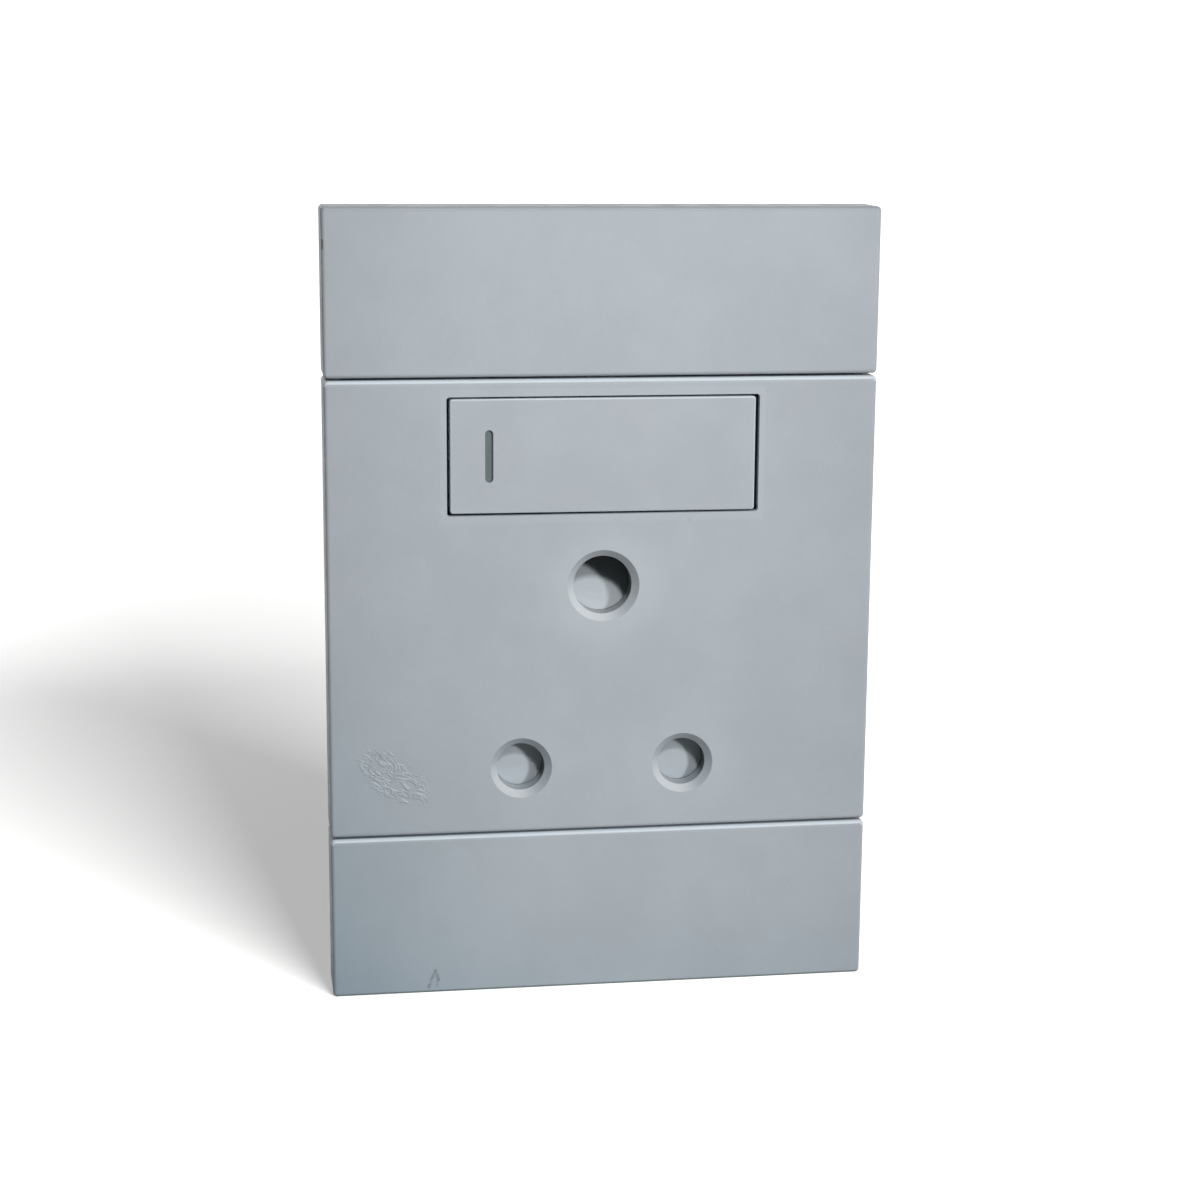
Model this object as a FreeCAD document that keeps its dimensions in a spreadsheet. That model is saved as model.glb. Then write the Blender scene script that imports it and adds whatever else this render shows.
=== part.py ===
import FreeCAD, Part
import math
import os

import Sketcher
from FreeCAD import Rotation, Vector

# Switched socket, single, for three round pins, on a tall wall box.
# Row frame: X to the right, Z up, the front faces -Y. The wall is the plane Y = 0
# and the origin is the centre of the two box screws.
# "Level" is the distance in front of the wall, so a level is -Y. Levels behind the
# wall are negative.

SIZES = [
    # Plate as a whole
    ("plate_width", 84.6, "across the three front mouldings"),
    ("plate_height", 122.4, "from the foot of the lower cover to the head of the upper one"),
    ("plate_depth", 9.0, "front face in front of the wall"),
    ("upper_seam", 35.7, "joint line of the upper cover above the centre"),
    ("lower_seam", 35.4, "joint line of the lower cover below the centre"),
    ("seam_gap", 0.35, "open joint between two front mouldings"),
    ("front_wall", 2.5, "thickness of the front faces"),
    ("side_wall", 2.2, "thickness of the outer side walls"),
    ("seam_lip_depth", 3.4, "depth of the turned edge along a seam"),
    ("seam_lip_wall", 1.6, "thickness of the turned edge along a seam"),
    ("corner_radius", 0.65, "upright corners of each front moulding"),
    ("edge_radius", 0.6, "rounding around each front face"),
    # Rocker
    ("rocker_width", 46.8, "paddle, left to right"),
    ("rocker_height", 17.5, "paddle, bottom to top"),
    ("rocker_level", 23.85, "height of the paddle's centre"),
    ("rocker_side_gap", 0.6, "paddle to opening, left and right"),
    ("rocker_end_gap", 0.33, "paddle to opening, top and bottom"),
    ("opening_corner", 0.5, "corner radius of the opening"),
    ("rocker_corner", 0.4, "corner radius of the paddle"),
    ("rocker_edge", 0.3, "rounding around the paddle's face"),
    ("rocker_recess", 0.1, "paddle's face below the plate when it lies level"),
    ("rocker_wall", 1.8, "wall of the paddle"),
    ("rocker_skirt", 3.5, "depth of the paddle's skirt"),
    ("pivot_depth", 4.4, "plate face to the rocker's axis"),
    ("trunnion_diameter", 3.0, "stub shafts of the rocker"),
    ("trunnion_length", 1.3, "how far a stub stands out of the paddle"),
    ("trunnion_ear", 3.2, "half width of the ear that carries a stub"),
    ("running_fit", 0.06, "radial clearance of turning and sliding pieces"),
    ("rest_tilt", 1.0, "paddle's tilt with its left end pressed"),
    ("rocker_swing", 4.0, "paddle's swing from end to end"),
    ("lens_offset", 17.46, "indicator slot left of the paddle's centre"),
    ("lens_width", 1.25, "indicator slot"),
    ("lens_length", 8.0, "indicator slot"),
    ("lens_recess", 0.45, "lens below the paddle's face"),
    ("lens_flange", 1.0, "flange around the lens, behind the paddle's face"),
    # Plunger and its barrel
    ("barrel_length", 8.2, "barrel behind the rocker's axis"),
    ("barrel_wall", 1.1, "wall of the barrel"),
    ("plunger_diameter", 4.1, "nylon plunger"),
    ("plunger_reach", 13.4, "rocker's axis to the plunger's tip"),
    ("plunger_engagement", 4.1, "length of plunger inside the barrel"),
    ("plunger_spring_length", 5.2, "fitted length"),
    ("plunger_spring_wire", 0.45, "wire diameter"),
    ("plunger_spring_pitch", 1.15, "coil spacing"),
    # See-saw contact
    ("seesaw_axis_depth", 10.0, "see-saw axis behind the wall"),
    ("blade_length", 18.0, "see-saw blade, left to right"),
    ("blade_width", 6.0, "see-saw blade, bottom to top"),
    ("blade_thickness", 0.8, "see-saw blade"),
    ("blade_rise", 0.3, "back of the blade in front of the see-saw axis"),
    ("knuckle_diameter", 2.0, "rolled knuckle that the blade turns on"),
    ("contact_swing", 12.0, "see-saw's swing from end to end"),
    ("rivet_offset", 7.5, "contact rivet from the see-saw axis"),
    ("rivet_diameter", 3.6, "contact rivets"),
    ("moving_rivet_height", 1.3, "rivet on the blade"),
    ("fixed_rivet_height", 0.8, "rivet on the fixed strip"),
    ("rivet_edge", 0.25, "rounding of a rivet's face"),
    ("cradle_wall", 1.2, "bracket beside the knuckle"),
    ("cradle_length", 5.0, "bracket along the knuckle"),
    ("bracket_base", 0.8, "bracket's foot"),
    # Pin holes
    ("pin_pitch", 25.4, "between the centres of the two lower holes"),
    ("earth_pitch", 28.58, "upper hole above the line of the lower ones"),
    ("earth_level", 3.57, "height of the upper hole's centre"),
    ("pin_bore", 7.5, "lower holes"),
    ("earth_bore", 9.1, "upper hole"),
    ("lead_in", 1.05, "chamfer at the mouth of each hole"),
    ("collar_height", 1.65, "collar around each hole, behind the face"),
    ("collar_wall", 1.5, "wall of a collar"),
    # Shutter
    ("shutter_gap", 0.25, "collars to shutter"),
    ("shutter_thickness", 1.2, "shutter plate"),
    ("shutter_half_width", 17.3, "centre to the sliding edge"),
    ("shutter_arm", 2.0, "arm between the crossbar and each pad"),
    ("shutter_cover", 0.45, "how far a pad reaches past its hole"),
    ("shutter_travel", 8.2, "slide, straight down"),
    ("ramp_width", 11.2, "ramp behind the upper hole"),
    ("ramp_depth", 4.8, "how far the ramp recedes from its toe to its crest"),
    ("ramp_web", 2.8, "ramp's thickness, measured upright"),
    ("shutter_shoulder", 8.0, "height of the plate's crossbar"),
    ("rail_wall", 1.4, "rails that guide the shutter"),
    ("rail_lip", 0.95, "lip of a rail behind the shutter"),
    ("rail_lip_thickness", 0.7, "lip of a rail"),
    ("slide_gap", 0.2, "shutter to its rails"),
    # Shutter spring
    ("shutter_spring_diameter", 4.0, "outside"),
    ("shutter_spring_wire", 0.45, "wire diameter"),
    ("shutter_spring_pitch", 2.9, "coil spacing"),
    ("shutter_spring_level", 0.6, "spring's centre line behind the wall"),
    ("shutter_spring_foot", 31.0, "spring's foot below the centre"),
    ("spring_seat", 1.4, "thickness of the seats at both ends"),
    # Pins of a mating plug, and the sleeves that take them
    ("pin_diameter", 7.06, "lower pins"),
    ("earth_pin_diameter", 8.75, "upper pin"),
    ("sleeve_clearance", 0.05, "radial, pin to sleeve"),
    ("sleeve_wall", 0.8, "sheet of the sleeves"),
    ("sleeve_slit", 1.2, "slit that lets a sleeve spring"),
    ("sleeve_mouth", 0.8, "mouth of the lower sleeves behind the wall"),
    ("earth_sleeve_mouth", 5.6, "mouth of the upper sleeve behind the wall"),
    ("earth_sleeve_length", 13.0, "upper sleeve"),
    ("strap_depth", 12.8, "front of the straps behind the wall"),
    ("strap_thickness", 0.8, "straps"),
    ("strap_width", 4.0, "straps"),
    ("run_offset", 13.2, "upright run of the live strap, right of the centre"),
    ("turn_gap", 1.6, "barrier to the live strap's turn towards the bracket"),
    # Terminals
    ("terminal_width", 7.0, "brass block"),
    ("terminal_length", 7.4, "brass block, along the wire"),
    ("terminal_height", 8.0, "brass block, front to back"),
    ("wire_bore", 4.0, "hole for the conductors"),
    ("wire_depth", 2.6, "centre of the wire hole behind the block's front"),
    ("live_terminal_offset", 15.2, "live block right of the centre"),
    ("live_terminal_inset", 6.4, "live block below the top of the housing"),
    ("neutral_terminal_offset", 13.6, "neutral block left of the centre"),
    ("neutral_terminal_inset", 6.2, "neutral block above the bottom of the housing"),
    ("earth_terminal_offset", 17.2, "earth block left of the centre"),
    ("earth_terminal_level", -1.0, "earth block above the centre"),
    ("terminal_screw_diameter", 3.9, "shank"),
    ("terminal_screw_head", 5.4, "head"),
    ("terminal_head_height", 1.9, "head"),
    ("terminal_gap", 0.15, "block to its well"),
    ("entry_margin", 0.5, "wire entry wider than the wire hole, on radius"),
    # Rear housing
    ("housing_width", 47.0, "behind the wall"),
    ("housing_head_gap", 1.925, "top of the housing below the upper seam"),
    ("housing_foot_gap", 1.025, "bottom of the housing above the lower seam"),
    ("housing_depth", 24.0, "back of the housing behind the wall"),
    ("housing_rim", 1.9, "front rim of the housing in front of the wall"),
    ("housing_wall", 1.8, "walls and floor"),
    ("well_wall", 1.2, "inner walls"),
    ("barrier_level", 12.2, "underside of the wall between switch and socket"),
    # Frame and its hooks
    ("frame_thickness", 3.2, "moulded frame"),
    ("frame_gap", 0.3, "frame to the side walls of the plate"),
    ("frame_window_gap", 0.5, "frame to the housing"),
    ("frame_rim", 1.2, "upstand around the frame"),
    ("hook_offset", 31.0, "hooks left and right of the centre"),
    ("cover_hook_level", 48.0, "hooks of the end covers"),
    ("plate_hook_level", 21.0, "hooks of the centre moulding"),
    ("hook_width", 6.0, "hook, bottom to top"),
    ("hook_thickness", 1.6, "hook, left to right"),
    ("hook_nose", 0.9, "nose that catches behind the ledge"),
    ("ledge_thickness", 1.5, "ledge in the frame that a hook catches"),
    ("hook_gap", 0.25, "hook to frame"),
    # Screws
    ("box_screw_pitch", 84.0, "between the two box screws"),
    ("box_screw_diameter", 3.5, "threaded shank, behind the wall"),
    ("box_screw_neck", 3.1, "plain shank inside the frame"),
    ("box_screw_length", 18.0, "how far a box screw stands out behind the wall"),
    ("box_screw_head", 6.8, "head"),
    ("box_head_height", 2.2, "head"),
    ("screw_slot_length", 8.0, "slots of the frame, left to right"),
    ("screw_slot_gap", 0.2, "box screw to slot, on radius"),
    ("driver_slot_width", 1.0, "slot in each screw head"),
    ("driver_slot_depth", 1.0, "slot in each screw head"),
    ("boss_offset", 20.4, "assembly screws left and right of the centre"),
    ("upper_boss_level", 8.6, "upper assembly screws above the centre"),
    ("lower_boss_level", 30.6, "lower assembly screws below the centre"),
    ("boss_diameter", 5.4, "bosses and posts for the assembly screws"),
    ("assembly_screw_diameter", 2.6, "shank"),
    ("assembly_screw_grip", 3.6, "length of screw in the boss"),
    ("assembly_screw_head", 4.2, "head"),
    ("assembly_head_height", 1.8, "head"),
    ("assembly_head_depth", 16.0, "underside of the head behind the wall"),
    ("thread_gap", 0.03, "screw to its boss or block, on radius"),
    ("cover_hole_gap", 0.3, "screw to the housing, on radius"),
]


class Size:
    """A length or an angle: its value, and the formula that ties it to the sheet."""

    def __init__(self, value, formula):
        self.value = value
        self.formula = formula

    def __add__(self, other):
        return Size(self.value + value_of(other), f"({self.formula} + {formula_of(other)})")

    def __radd__(self, other):
        return Size(value_of(other) + self.value, f"({formula_of(other)} + {self.formula})")

    def __sub__(self, other):
        return Size(self.value - value_of(other), f"({self.formula} - {formula_of(other)})")

    def __rsub__(self, other):
        return Size(value_of(other) - self.value, f"({formula_of(other)} - {self.formula})")

    def __mul__(self, other):
        return Size(self.value * value_of(other), f"({self.formula} * {formula_of(other)})")

    def __rmul__(self, other):
        return self * other

    def __truediv__(self, other):
        return Size(self.value / value_of(other), f"({self.formula} / {formula_of(other)})")

    def __neg__(self):
        return Size(-self.value, f"(0 - {self.formula})")


def value_of(size):
    return size.value if isinstance(size, Size) else float(size)


def formula_of(size):
    return size.formula if isinstance(size, Size) else repr(float(size))


def sine(angle):
    return Size(math.sin(math.radians(angle.value)), f"sin({angle.formula})")


# Driving dimensions

doc = FreeCAD.newDocument("switched_socket")
sheet = doc.addObject("Spreadsheet::Sheet", "sizes")


class Sizes:
    """The sheet's cells by name, each as a Size."""


S = Sizes()
for row, (alias, amount, note) in enumerate(SIZES, start=1):
    sheet.set(f"A{row}", alias)
    sheet.set(f"B{row}", str(amount))
    sheet.set(f"C{row}", note)
    sheet.setAlias(f"B{row}", alias)
    setattr(S, alias, Size(amount, f"sizes.{alias}"))
doc.recompute()

# Sizes that several sub-parts share

half_width = S.plate_width / 2
half_height = S.plate_height / 2
face_back = S.plate_depth - S.front_wall
upper_edge = S.upper_seam - S.seam_gap / 2
lower_edge = -S.lower_seam + S.seam_gap / 2
lip_level = S.plate_depth - S.seam_lip_depth
pivot_level = S.plate_depth - S.pivot_depth
opening_half = S.rocker_width / 2 + S.rocker_side_gap
opening_low = S.rocker_level - S.rocker_height / 2 - S.rocker_end_gap
opening_high = S.rocker_level + S.rocker_height / 2 + S.rocker_end_gap
pin_level = S.earth_level - S.earth_pitch
collar_level = face_back - S.collar_height
shutter_front = collar_level - S.shutter_gap
shutter_back = shutter_front - S.shutter_thickness
strap_back = -(S.strap_depth + S.strap_thickness)
housing_half = S.housing_width / 2
housing_inner = housing_half - S.housing_wall
housing_head = upper_edge - S.housing_head_gap
housing_foot = -lower_edge - S.housing_foot_gap
floor_level = -(S.housing_depth - S.housing_wall)
sleeve_radius = S.pin_diameter / 2 + S.sleeve_clearance
earth_sleeve_radius = S.earth_pin_diameter / 2 + S.sleeve_clearance
terminal_back = strap_back - S.terminal_height
mid_tilt = S.rocker_swing / 2 - S.rest_tilt
seesaw_offset = -(S.plunger_reach * sine(mid_tilt))
seesaw_level = -S.seesaw_axis_depth
turn_height = S.barrier_level + S.well_wall + S.turn_gap + S.strap_width / 2
live_terminal_level = housing_head - S.live_terminal_inset
neutral_terminal_level = housing_foot - S.neutral_terminal_inset

PIN_HOLES = [
    ("earth", 0, S.earth_level, S.earth_bore),
    ("live", S.pin_pitch / 2, pin_level, S.pin_bore),
    ("neutral", -(S.pin_pitch / 2), pin_level, S.pin_bore),
]
BOSSES = [
    (S.boss_offset, S.upper_boss_level),
    (-S.boss_offset, S.upper_boss_level),
    (S.boss_offset, -S.lower_boss_level),
    (-S.boss_offset, -S.lower_boss_level),
]
SIDES = (-1, 1)
UPPER_HOOKS = [(side, S.cover_hook_level) for side in SIDES]
LOWER_HOOKS = [(side, -S.cover_hook_level) for side in SIDES]
PLATE_HOOKS = [(side, end * S.plate_hook_level) for side in SIDES for end in SIDES]


# Sketches and features

def bind(item, prop, size):
    """Tie a property to the sheet, or set it where it is a plain number."""
    if isinstance(size, Size):
        item.setExpression(prop, size.formula)
    else:
        setattr(item, prop, float(size))


def new_body(name):
    body = doc.addObject("PartDesign::Body", name)
    body.Label = name
    return body


def new_sketch(body, plane, offset):
    """A sketch on one of the body's origin planes, moved along the plane's normal."""
    sketch = body.newObject("Sketcher::SketchObject", "outline")
    support = [item for item in body.Origin.OriginFeatures if item.Role == plane]
    sketch.AttachmentSupport = [(support[0], "")]
    sketch.MapMode = "FlatFace"
    if isinstance(offset, Size):
        sketch.setExpression("AttachmentOffset.Base.z", offset.formula)
    return sketch


def dimension(sketch, kind, references, size):
    index = sketch.addConstraint(Sketcher.Constraint(kind, *references, value_of(size)))
    if isinstance(size, Size):
        sketch.setExpression(f"Constraints[{index}]", size.formula)


def pin_point(sketch, geometry, position, across, up):
    """Hold a point of the sketch at a distance from the sketch's origin."""
    origin = (-1, 1)
    for kind, axis, size in (("DistanceX", -2, across), ("DistanceY", -1, up)):
        amount = value_of(size)
        if abs(amount) < 1e-9:
            sketch.addConstraint(Sketcher.Constraint("PointOnObject", geometry, position, axis))
        elif amount > 0:
            dimension(sketch, kind, (*origin, geometry, position), size)
        else:
            dimension(sketch, kind, (geometry, position, *origin), -size)


def polygon(*corners):
    """A closed outline with straight sides."""
    def draw(sketch):
        points = [Vector(value_of(across), value_of(up), 0) for across, up in corners]
        count = len(points)
        sides = [
            sketch.addGeometry(Part.LineSegment(points[i], points[(i + 1) % count]), False)
            for i in range(count)
        ]
        for i, side in enumerate(sides):
            sketch.addConstraint(Sketcher.Constraint("Coincident", side, 2, sides[(i + 1) % count], 1))
        for side, (across, up) in zip(sides, corners):
            pin_point(sketch, side, 1, across, up)
    return draw


def rectangle(left, right, low, high):
    return polygon((left, low), (right, low), (right, high), (left, high))


def disc(across, up, radius):
    def draw(sketch):
        centre = Vector(value_of(across), value_of(up), 0)
        circle = Part.Circle(centre, Vector(0, 0, 1), value_of(radius))
        ring = sketch.addGeometry(circle, False)
        dimension(sketch, "Radius", (ring,), radius)
        pin_point(sketch, ring, 3, across, up)
    return draw


def slot(across, up, half_run, radius, upright=True):
    """A slot with round ends: half_run is from its middle to the centre of an end."""
    def draw(sketch):
        run = Vector(0, value_of(half_run), 0) if upright else Vector(value_of(half_run), 0, 0)
        centre = Vector(value_of(across), value_of(up), 0)
        side = Vector(run.y, -run.x, 0).normalize() * value_of(radius)
        turn = math.atan2(side.y, side.x)
        normal = Vector(0, 0, 1)
        far = Part.ArcOfCircle(Part.Circle(centre + run, normal, value_of(radius)), turn, turn + math.pi)
        near = Part.ArcOfCircle(
            Part.Circle(centre - run, normal, value_of(radius)), turn + math.pi, turn + 2 * math.pi
        )
        first = sketch.addGeometry(far, False)
        second = sketch.addGeometry(near, False)
        left = sketch.addGeometry(Part.LineSegment(centre + run - side, centre - run - side), False)
        right = sketch.addGeometry(Part.LineSegment(centre - run + side, centre + run + side), False)
        for joint in ((first, 2, left, 1), (left, 2, second, 1), (second, 2, right, 1), (right, 2, first, 1)):
            sketch.addConstraint(Sketcher.Constraint("Tangent", *joint))
        dimension(sketch, "Radius", (first,), radius)
        along = (0, half_run) if upright else (half_run, 0)
        pin_point(sketch, first, 3, across + along[0], up + along[1])
        pin_point(sketch, second, 3, across - along[0], up - along[1])
    return draw


def add(body, low, high, *outlines, plane="XZ_Plane"):
    """Material between two levels, or between two offsets of another plane."""
    sketch = new_sketch(body, plane, low)
    for draw in outlines:
        draw(sketch)
    pad = body.newObject("PartDesign::Pad", "block")
    pad.Profile = sketch
    bind(pad, "Length", high - low)
    return pad


def cut(body, low, high, *outlines, plane="XZ_Plane"):
    """A hollow between two levels, or between two offsets of another plane."""
    sketch = new_sketch(body, plane, high)
    for draw in outlines:
        draw(sketch)
    pocket = body.newObject("PartDesign::Pocket", "hollow")
    pocket.Profile = sketch
    bind(pocket, "Length", high - low)
    return pocket


def turn_profile(body, *corners):
    """Turn an outline of (distance along Y, radius) points around the Y axis."""
    sketch = new_sketch(body, "YZ_Plane", 0)
    polygon(*corners)(sketch)
    revolution = body.newObject("PartDesign::Revolution", "turning")
    revolution.Profile = sketch
    revolution.ReferenceAxis = (sketch, ["H_Axis"])
    revolution.Angle = 360
    return revolution


def pick_edges(body, test):
    """The body's last feature, and the names of its edges that the test picks."""
    doc.recompute()
    last = body.Tip
    names = [f"Edge{i}" for i, edge in enumerate(last.Shape.Edges, start=1) if test(edge)]
    if not names:
        raise RuntimeError(f"no such edge on {body.Label}")
    return last, names


def round_edges(body, radius, test):
    edges = pick_edges(body, test)
    fillet = body.newObject("PartDesign::Fillet", "rounding")
    fillet.Base = edges
    bind(fillet, "Radius", radius)
    return fillet


def bevel_edges(body, width, test):
    edges = pick_edges(body, test)
    chamfer = body.newObject("PartDesign::Chamfer", "bevel")
    chamfer.Base = edges
    bind(chamfer, "Size", width)
    return chamfer


def near(first, second):
    return abs(first - second) < 1e-4


def lies_at_level(edge, level):
    box = edge.BoundBox
    return near(box.YMin, -value_of(level)) and near(box.YMax, -value_of(level))


def on_outline(edge, level, left, right, low, high):
    """True for an edge at a level that runs along the rectangle's outer sides."""
    box = edge.BoundBox
    sides = [
        near(box.XMin, value_of(left)),
        near(box.XMax, value_of(right)),
        near(box.ZMin, value_of(low)),
        near(box.ZMax, value_of(high)),
    ]
    return lies_at_level(edge, level) and any(sides)


def upright_corner(edge, corners):
    """True for a straight edge along Y that stands at one of the (x, z) corners."""
    box = edge.BoundBox
    along_y = near(box.XMin, box.XMax) and near(box.ZMin, box.ZMax)
    return along_y and any(
        near(box.XMin, value_of(x)) and near(box.ZMin, value_of(z)) for x, z in corners
    )


def ring_at(edge, level, x, z, radius):
    """True for the round edge of that radius and centre at a level."""
    if not lies_at_level(edge, level) or not isinstance(edge.Curve, Part.Circle):
        return False
    centre = edge.Curve.Center
    same_place = near(centre.x, value_of(x)) and near(centre.z, value_of(z))
    return same_place and near(edge.Curve.Radius, value_of(radius))


def place(body, x=0, y=0, z=0):
    for prop, size in (("x", x), ("y", y), ("z", z)):
        if isinstance(size, Size):
            body.setExpression(f".Placement.Base.{prop}", size.formula)


def tilt(body, angle):
    """Turn a body about the upright axis through its own origin."""
    body.Placement.Rotation = Rotation(Vector(0, 0, 1), 0)
    body.setExpression(".Placement.Rotation.Angle", angle.formula)


# Hooks that hold the front mouldings to the frame

def hook_column(side, height, inner_gap, outer_gap, end_gap):
    """A hook's outline seen from the front, grown or trimmed by the given gaps."""
    inner = side * (S.hook_offset - S.hook_thickness / 2 - inner_gap)
    outer = side * (S.hook_offset + S.hook_thickness / 2 + outer_gap)
    reach = S.hook_width / 2 + end_gap
    return rectangle(inner, outer, height - reach, height + reach)


def add_hooks(body, hooks):
    """Hooks behind the face, with their noses turned outwards near the wall."""
    nose_top = S.frame_thickness - S.ledge_thickness - S.hook_gap
    legs = [hook_column(side, height, 0, 0, 0) for side, height in hooks]
    noses = [hook_column(side, height, 0, S.hook_nose, 0) for side, height in hooks]
    add(body, S.hook_gap, face_back, *legs)
    add(body, S.hook_gap, nose_top, *noses)


def cut_hook_windows(body, hooks):
    """Windows in the frame for the hooks, wider behind the ledge."""
    gap = S.hook_gap
    throats = [hook_column(side, height, gap, gap, gap) for side, height in hooks]
    reliefs = [hook_column(side, height, gap, S.hook_nose + gap, gap) for side, height in hooks]
    cut(body, 0, S.frame_thickness, *throats)
    cut(body, 0, S.frame_thickness - S.ledge_thickness, *reliefs)


# Front mouldings

def make_end_cover(name, direction):
    """A snap-on end cover; direction is 1 for the upper one and -1 for the lower one."""
    seam = upper_edge + S.seam_gap if direction > 0 else lower_edge - S.seam_gap
    end = direction * half_height
    body = new_body(name)
    low = seam if direction > 0 else end
    high = end if direction > 0 else seam
    add(body, 0, S.plate_depth, rectangle(-half_width, half_width, low, high))
    inner = half_width - S.side_wall
    inner_end = end - direction * S.side_wall
    lip = seam + direction * S.seam_lip_wall
    cut(body, 0, lip_level, rectangle(-inner, inner, seam, inner_end))
    cut(body, lip_level, face_back, rectangle(-inner, inner, lip, inner_end))
    corners = [(side * half_width, z) for side in SIDES for z in (low, high)]
    round_edges(body, S.corner_radius, lambda edge: upright_corner(edge, corners))
    round_edges(
        body,
        S.edge_radius,
        lambda edge: on_outline(edge, S.plate_depth, -half_width, half_width, low, high),
    )
    add_hooks(body, UPPER_HOOKS if direction > 0 else LOWER_HOOKS)
    return body


def make_front_plate():
    body = new_body("front_plate")
    add(body, 0, S.plate_depth, rectangle(-half_width, half_width, lower_edge, upper_edge))
    inner = half_width - S.side_wall
    cut(body, 0, lip_level, rectangle(-inner, inner, lower_edge, upper_edge))
    lip_low = lower_edge + S.seam_lip_wall
    lip_high = upper_edge - S.seam_lip_wall
    cut(body, lip_level, face_back, rectangle(-inner, inner, lip_low, lip_high))
    corners = [(side * half_width, z) for side in SIDES for z in (lower_edge, upper_edge)]
    round_edges(body, S.corner_radius, lambda edge: upright_corner(edge, corners))
    round_edges(
        body,
        S.edge_radius,
        lambda edge: on_outline(edge, S.plate_depth, -half_width, half_width, lower_edge, upper_edge),
    )
    add_rocker_well(body)
    collars = [disc(x, z, bore / 2 + S.collar_wall) for _, x, z, bore in PIN_HOLES]
    holes = [disc(x, z, bore / 2) for _, x, z, bore in PIN_HOLES]
    add(body, collar_level, face_back, *collars)
    cut(body, collar_level, S.plate_depth, *holes)
    pilot = S.assembly_screw_diameter / 2 + S.thread_gap
    depth = S.assembly_screw_grip + S.cover_hole_gap
    add(body, S.housing_rim, face_back, *[disc(x, z, S.boss_diameter / 2) for x, z in BOSSES])
    cut(body, S.housing_rim, S.housing_rim + depth, *[disc(x, z, pilot) for x, z in BOSSES])
    add_shutter_rails(body)
    add_hooks(body, PLATE_HOOKS)
    bevel_edges(
        body,
        S.lead_in,
        lambda edge: any(
            ring_at(edge, S.plate_depth, x, z, bore / 2) for _, x, z, bore in PIN_HOLES
        ),
    )
    return body


def add_rocker_well(body):
    """Walls around the rocker opening, and the cheeks that hold its trunnions."""
    cheek_level = pivot_level - S.trunnion_diameter / 2 - S.running_fit - S.barrel_wall
    cheek_half = S.trunnion_ear + S.barrel_wall
    trunnion_reach = S.trunnion_length + S.rocker_end_gap
    low = opening_low - S.rocker_wall
    well = rectangle(-opening_half - S.well_wall, opening_half + S.well_wall, low, upper_edge)
    add(body, lip_level, face_back, well)
    lower_cheek = rectangle(-cheek_half, cheek_half, low, opening_low)
    upper_cheek = rectangle(-cheek_half, cheek_half, opening_high, upper_edge)
    add(body, cheek_level, lip_level, lower_cheek, upper_cheek)
    opening = rectangle(-opening_half, opening_half, opening_low, opening_high)
    cut(body, lip_level, S.plate_depth, opening)
    corners = [(x, z) for x in (-opening_half, opening_half) for z in (opening_low, opening_high)]
    round_edges(body, S.opening_corner, lambda edge: upright_corner(edge, corners))
    bearing = disc(0, -pivot_level, S.trunnion_diameter / 2 + S.running_fit)
    cut(body, opening_low - trunnion_reach, opening_high + trunnion_reach, bearing, plane="XY_Plane")


def add_shutter_rails(body):
    """A rail with a lip for each edge of the shutter."""
    edge = S.shutter_half_width + S.slide_gap
    inner = edge - S.rail_lip
    outer = edge + S.rail_wall
    lip_front = shutter_back - S.slide_gap
    lip_back = lip_front - S.rail_lip_thickness
    low = pin_level - S.pin_bore / 2 + S.lead_in
    high = -S.shutter_shoulder
    rails = [rectangle(side * edge, side * outer, low, high) for side in SIDES]
    lips = [rectangle(side * inner, side * outer, low, high) for side in SIDES]
    add(body, lip_back, face_back, *rails)
    add(body, lip_back, lip_front, *lips)


# Rocker and what it carries, drawn about the rocker's own axis

def make_rocker():
    body = new_body("rocker")
    face = S.pivot_depth - S.rocker_recess
    skirt = face - S.rocker_skirt
    inside = face - S.rocker_wall
    half = S.rocker_width / 2
    rise = S.rocker_height / 2
    add(body, skirt, face, rectangle(-half, half, -rise, rise))
    corners = [(x, z) for x in (-half, half) for z in (-rise, rise)]
    round_edges(body, S.rocker_corner, lambda edge: upright_corner(edge, corners))
    round_edges(body, S.rocker_edge, lambda edge: on_outline(edge, face, -half, half, -rise, rise))
    inner = half - S.rocker_wall
    inner_rise = rise - S.rocker_wall
    cut(body, skirt, inside, rectangle(-inner, inner, -inner_rise, inner_rise))
    ear_end = -(S.trunnion_diameter / 2 + S.rocker_edge)
    ears = [rectangle(-S.trunnion_ear, S.trunnion_ear, end * inner_rise, end * rise) for end in SIDES]
    add(body, ear_end, skirt, *ears)
    bore = S.plunger_diameter / 2 + S.running_fit
    add(body, -S.barrel_length, inside, disc(0, 0, bore + S.barrel_wall))
    depth = S.plunger_engagement + S.plunger_spring_length
    cut(body, -S.barrel_length, depth - S.barrel_length, disc(0, 0, bore))
    reach = rise + S.trunnion_length
    add(body, -reach, -inner_rise, disc(0, 0, S.trunnion_diameter / 2), plane="XY_Plane")
    add(body, inner_rise, reach, disc(0, 0, S.trunnion_diameter / 2), plane="XY_Plane")
    run = S.lens_length / 2 - S.lens_width / 2
    cut(body, inside, face, slot(-S.lens_offset, 0, run, S.lens_width / 2))
    place_on_rocker(body)
    return body


def place_on_rocker(body):
    place(body, 0, -pivot_level, S.rocker_level)
    tilt(body, -S.rest_tilt)


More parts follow.
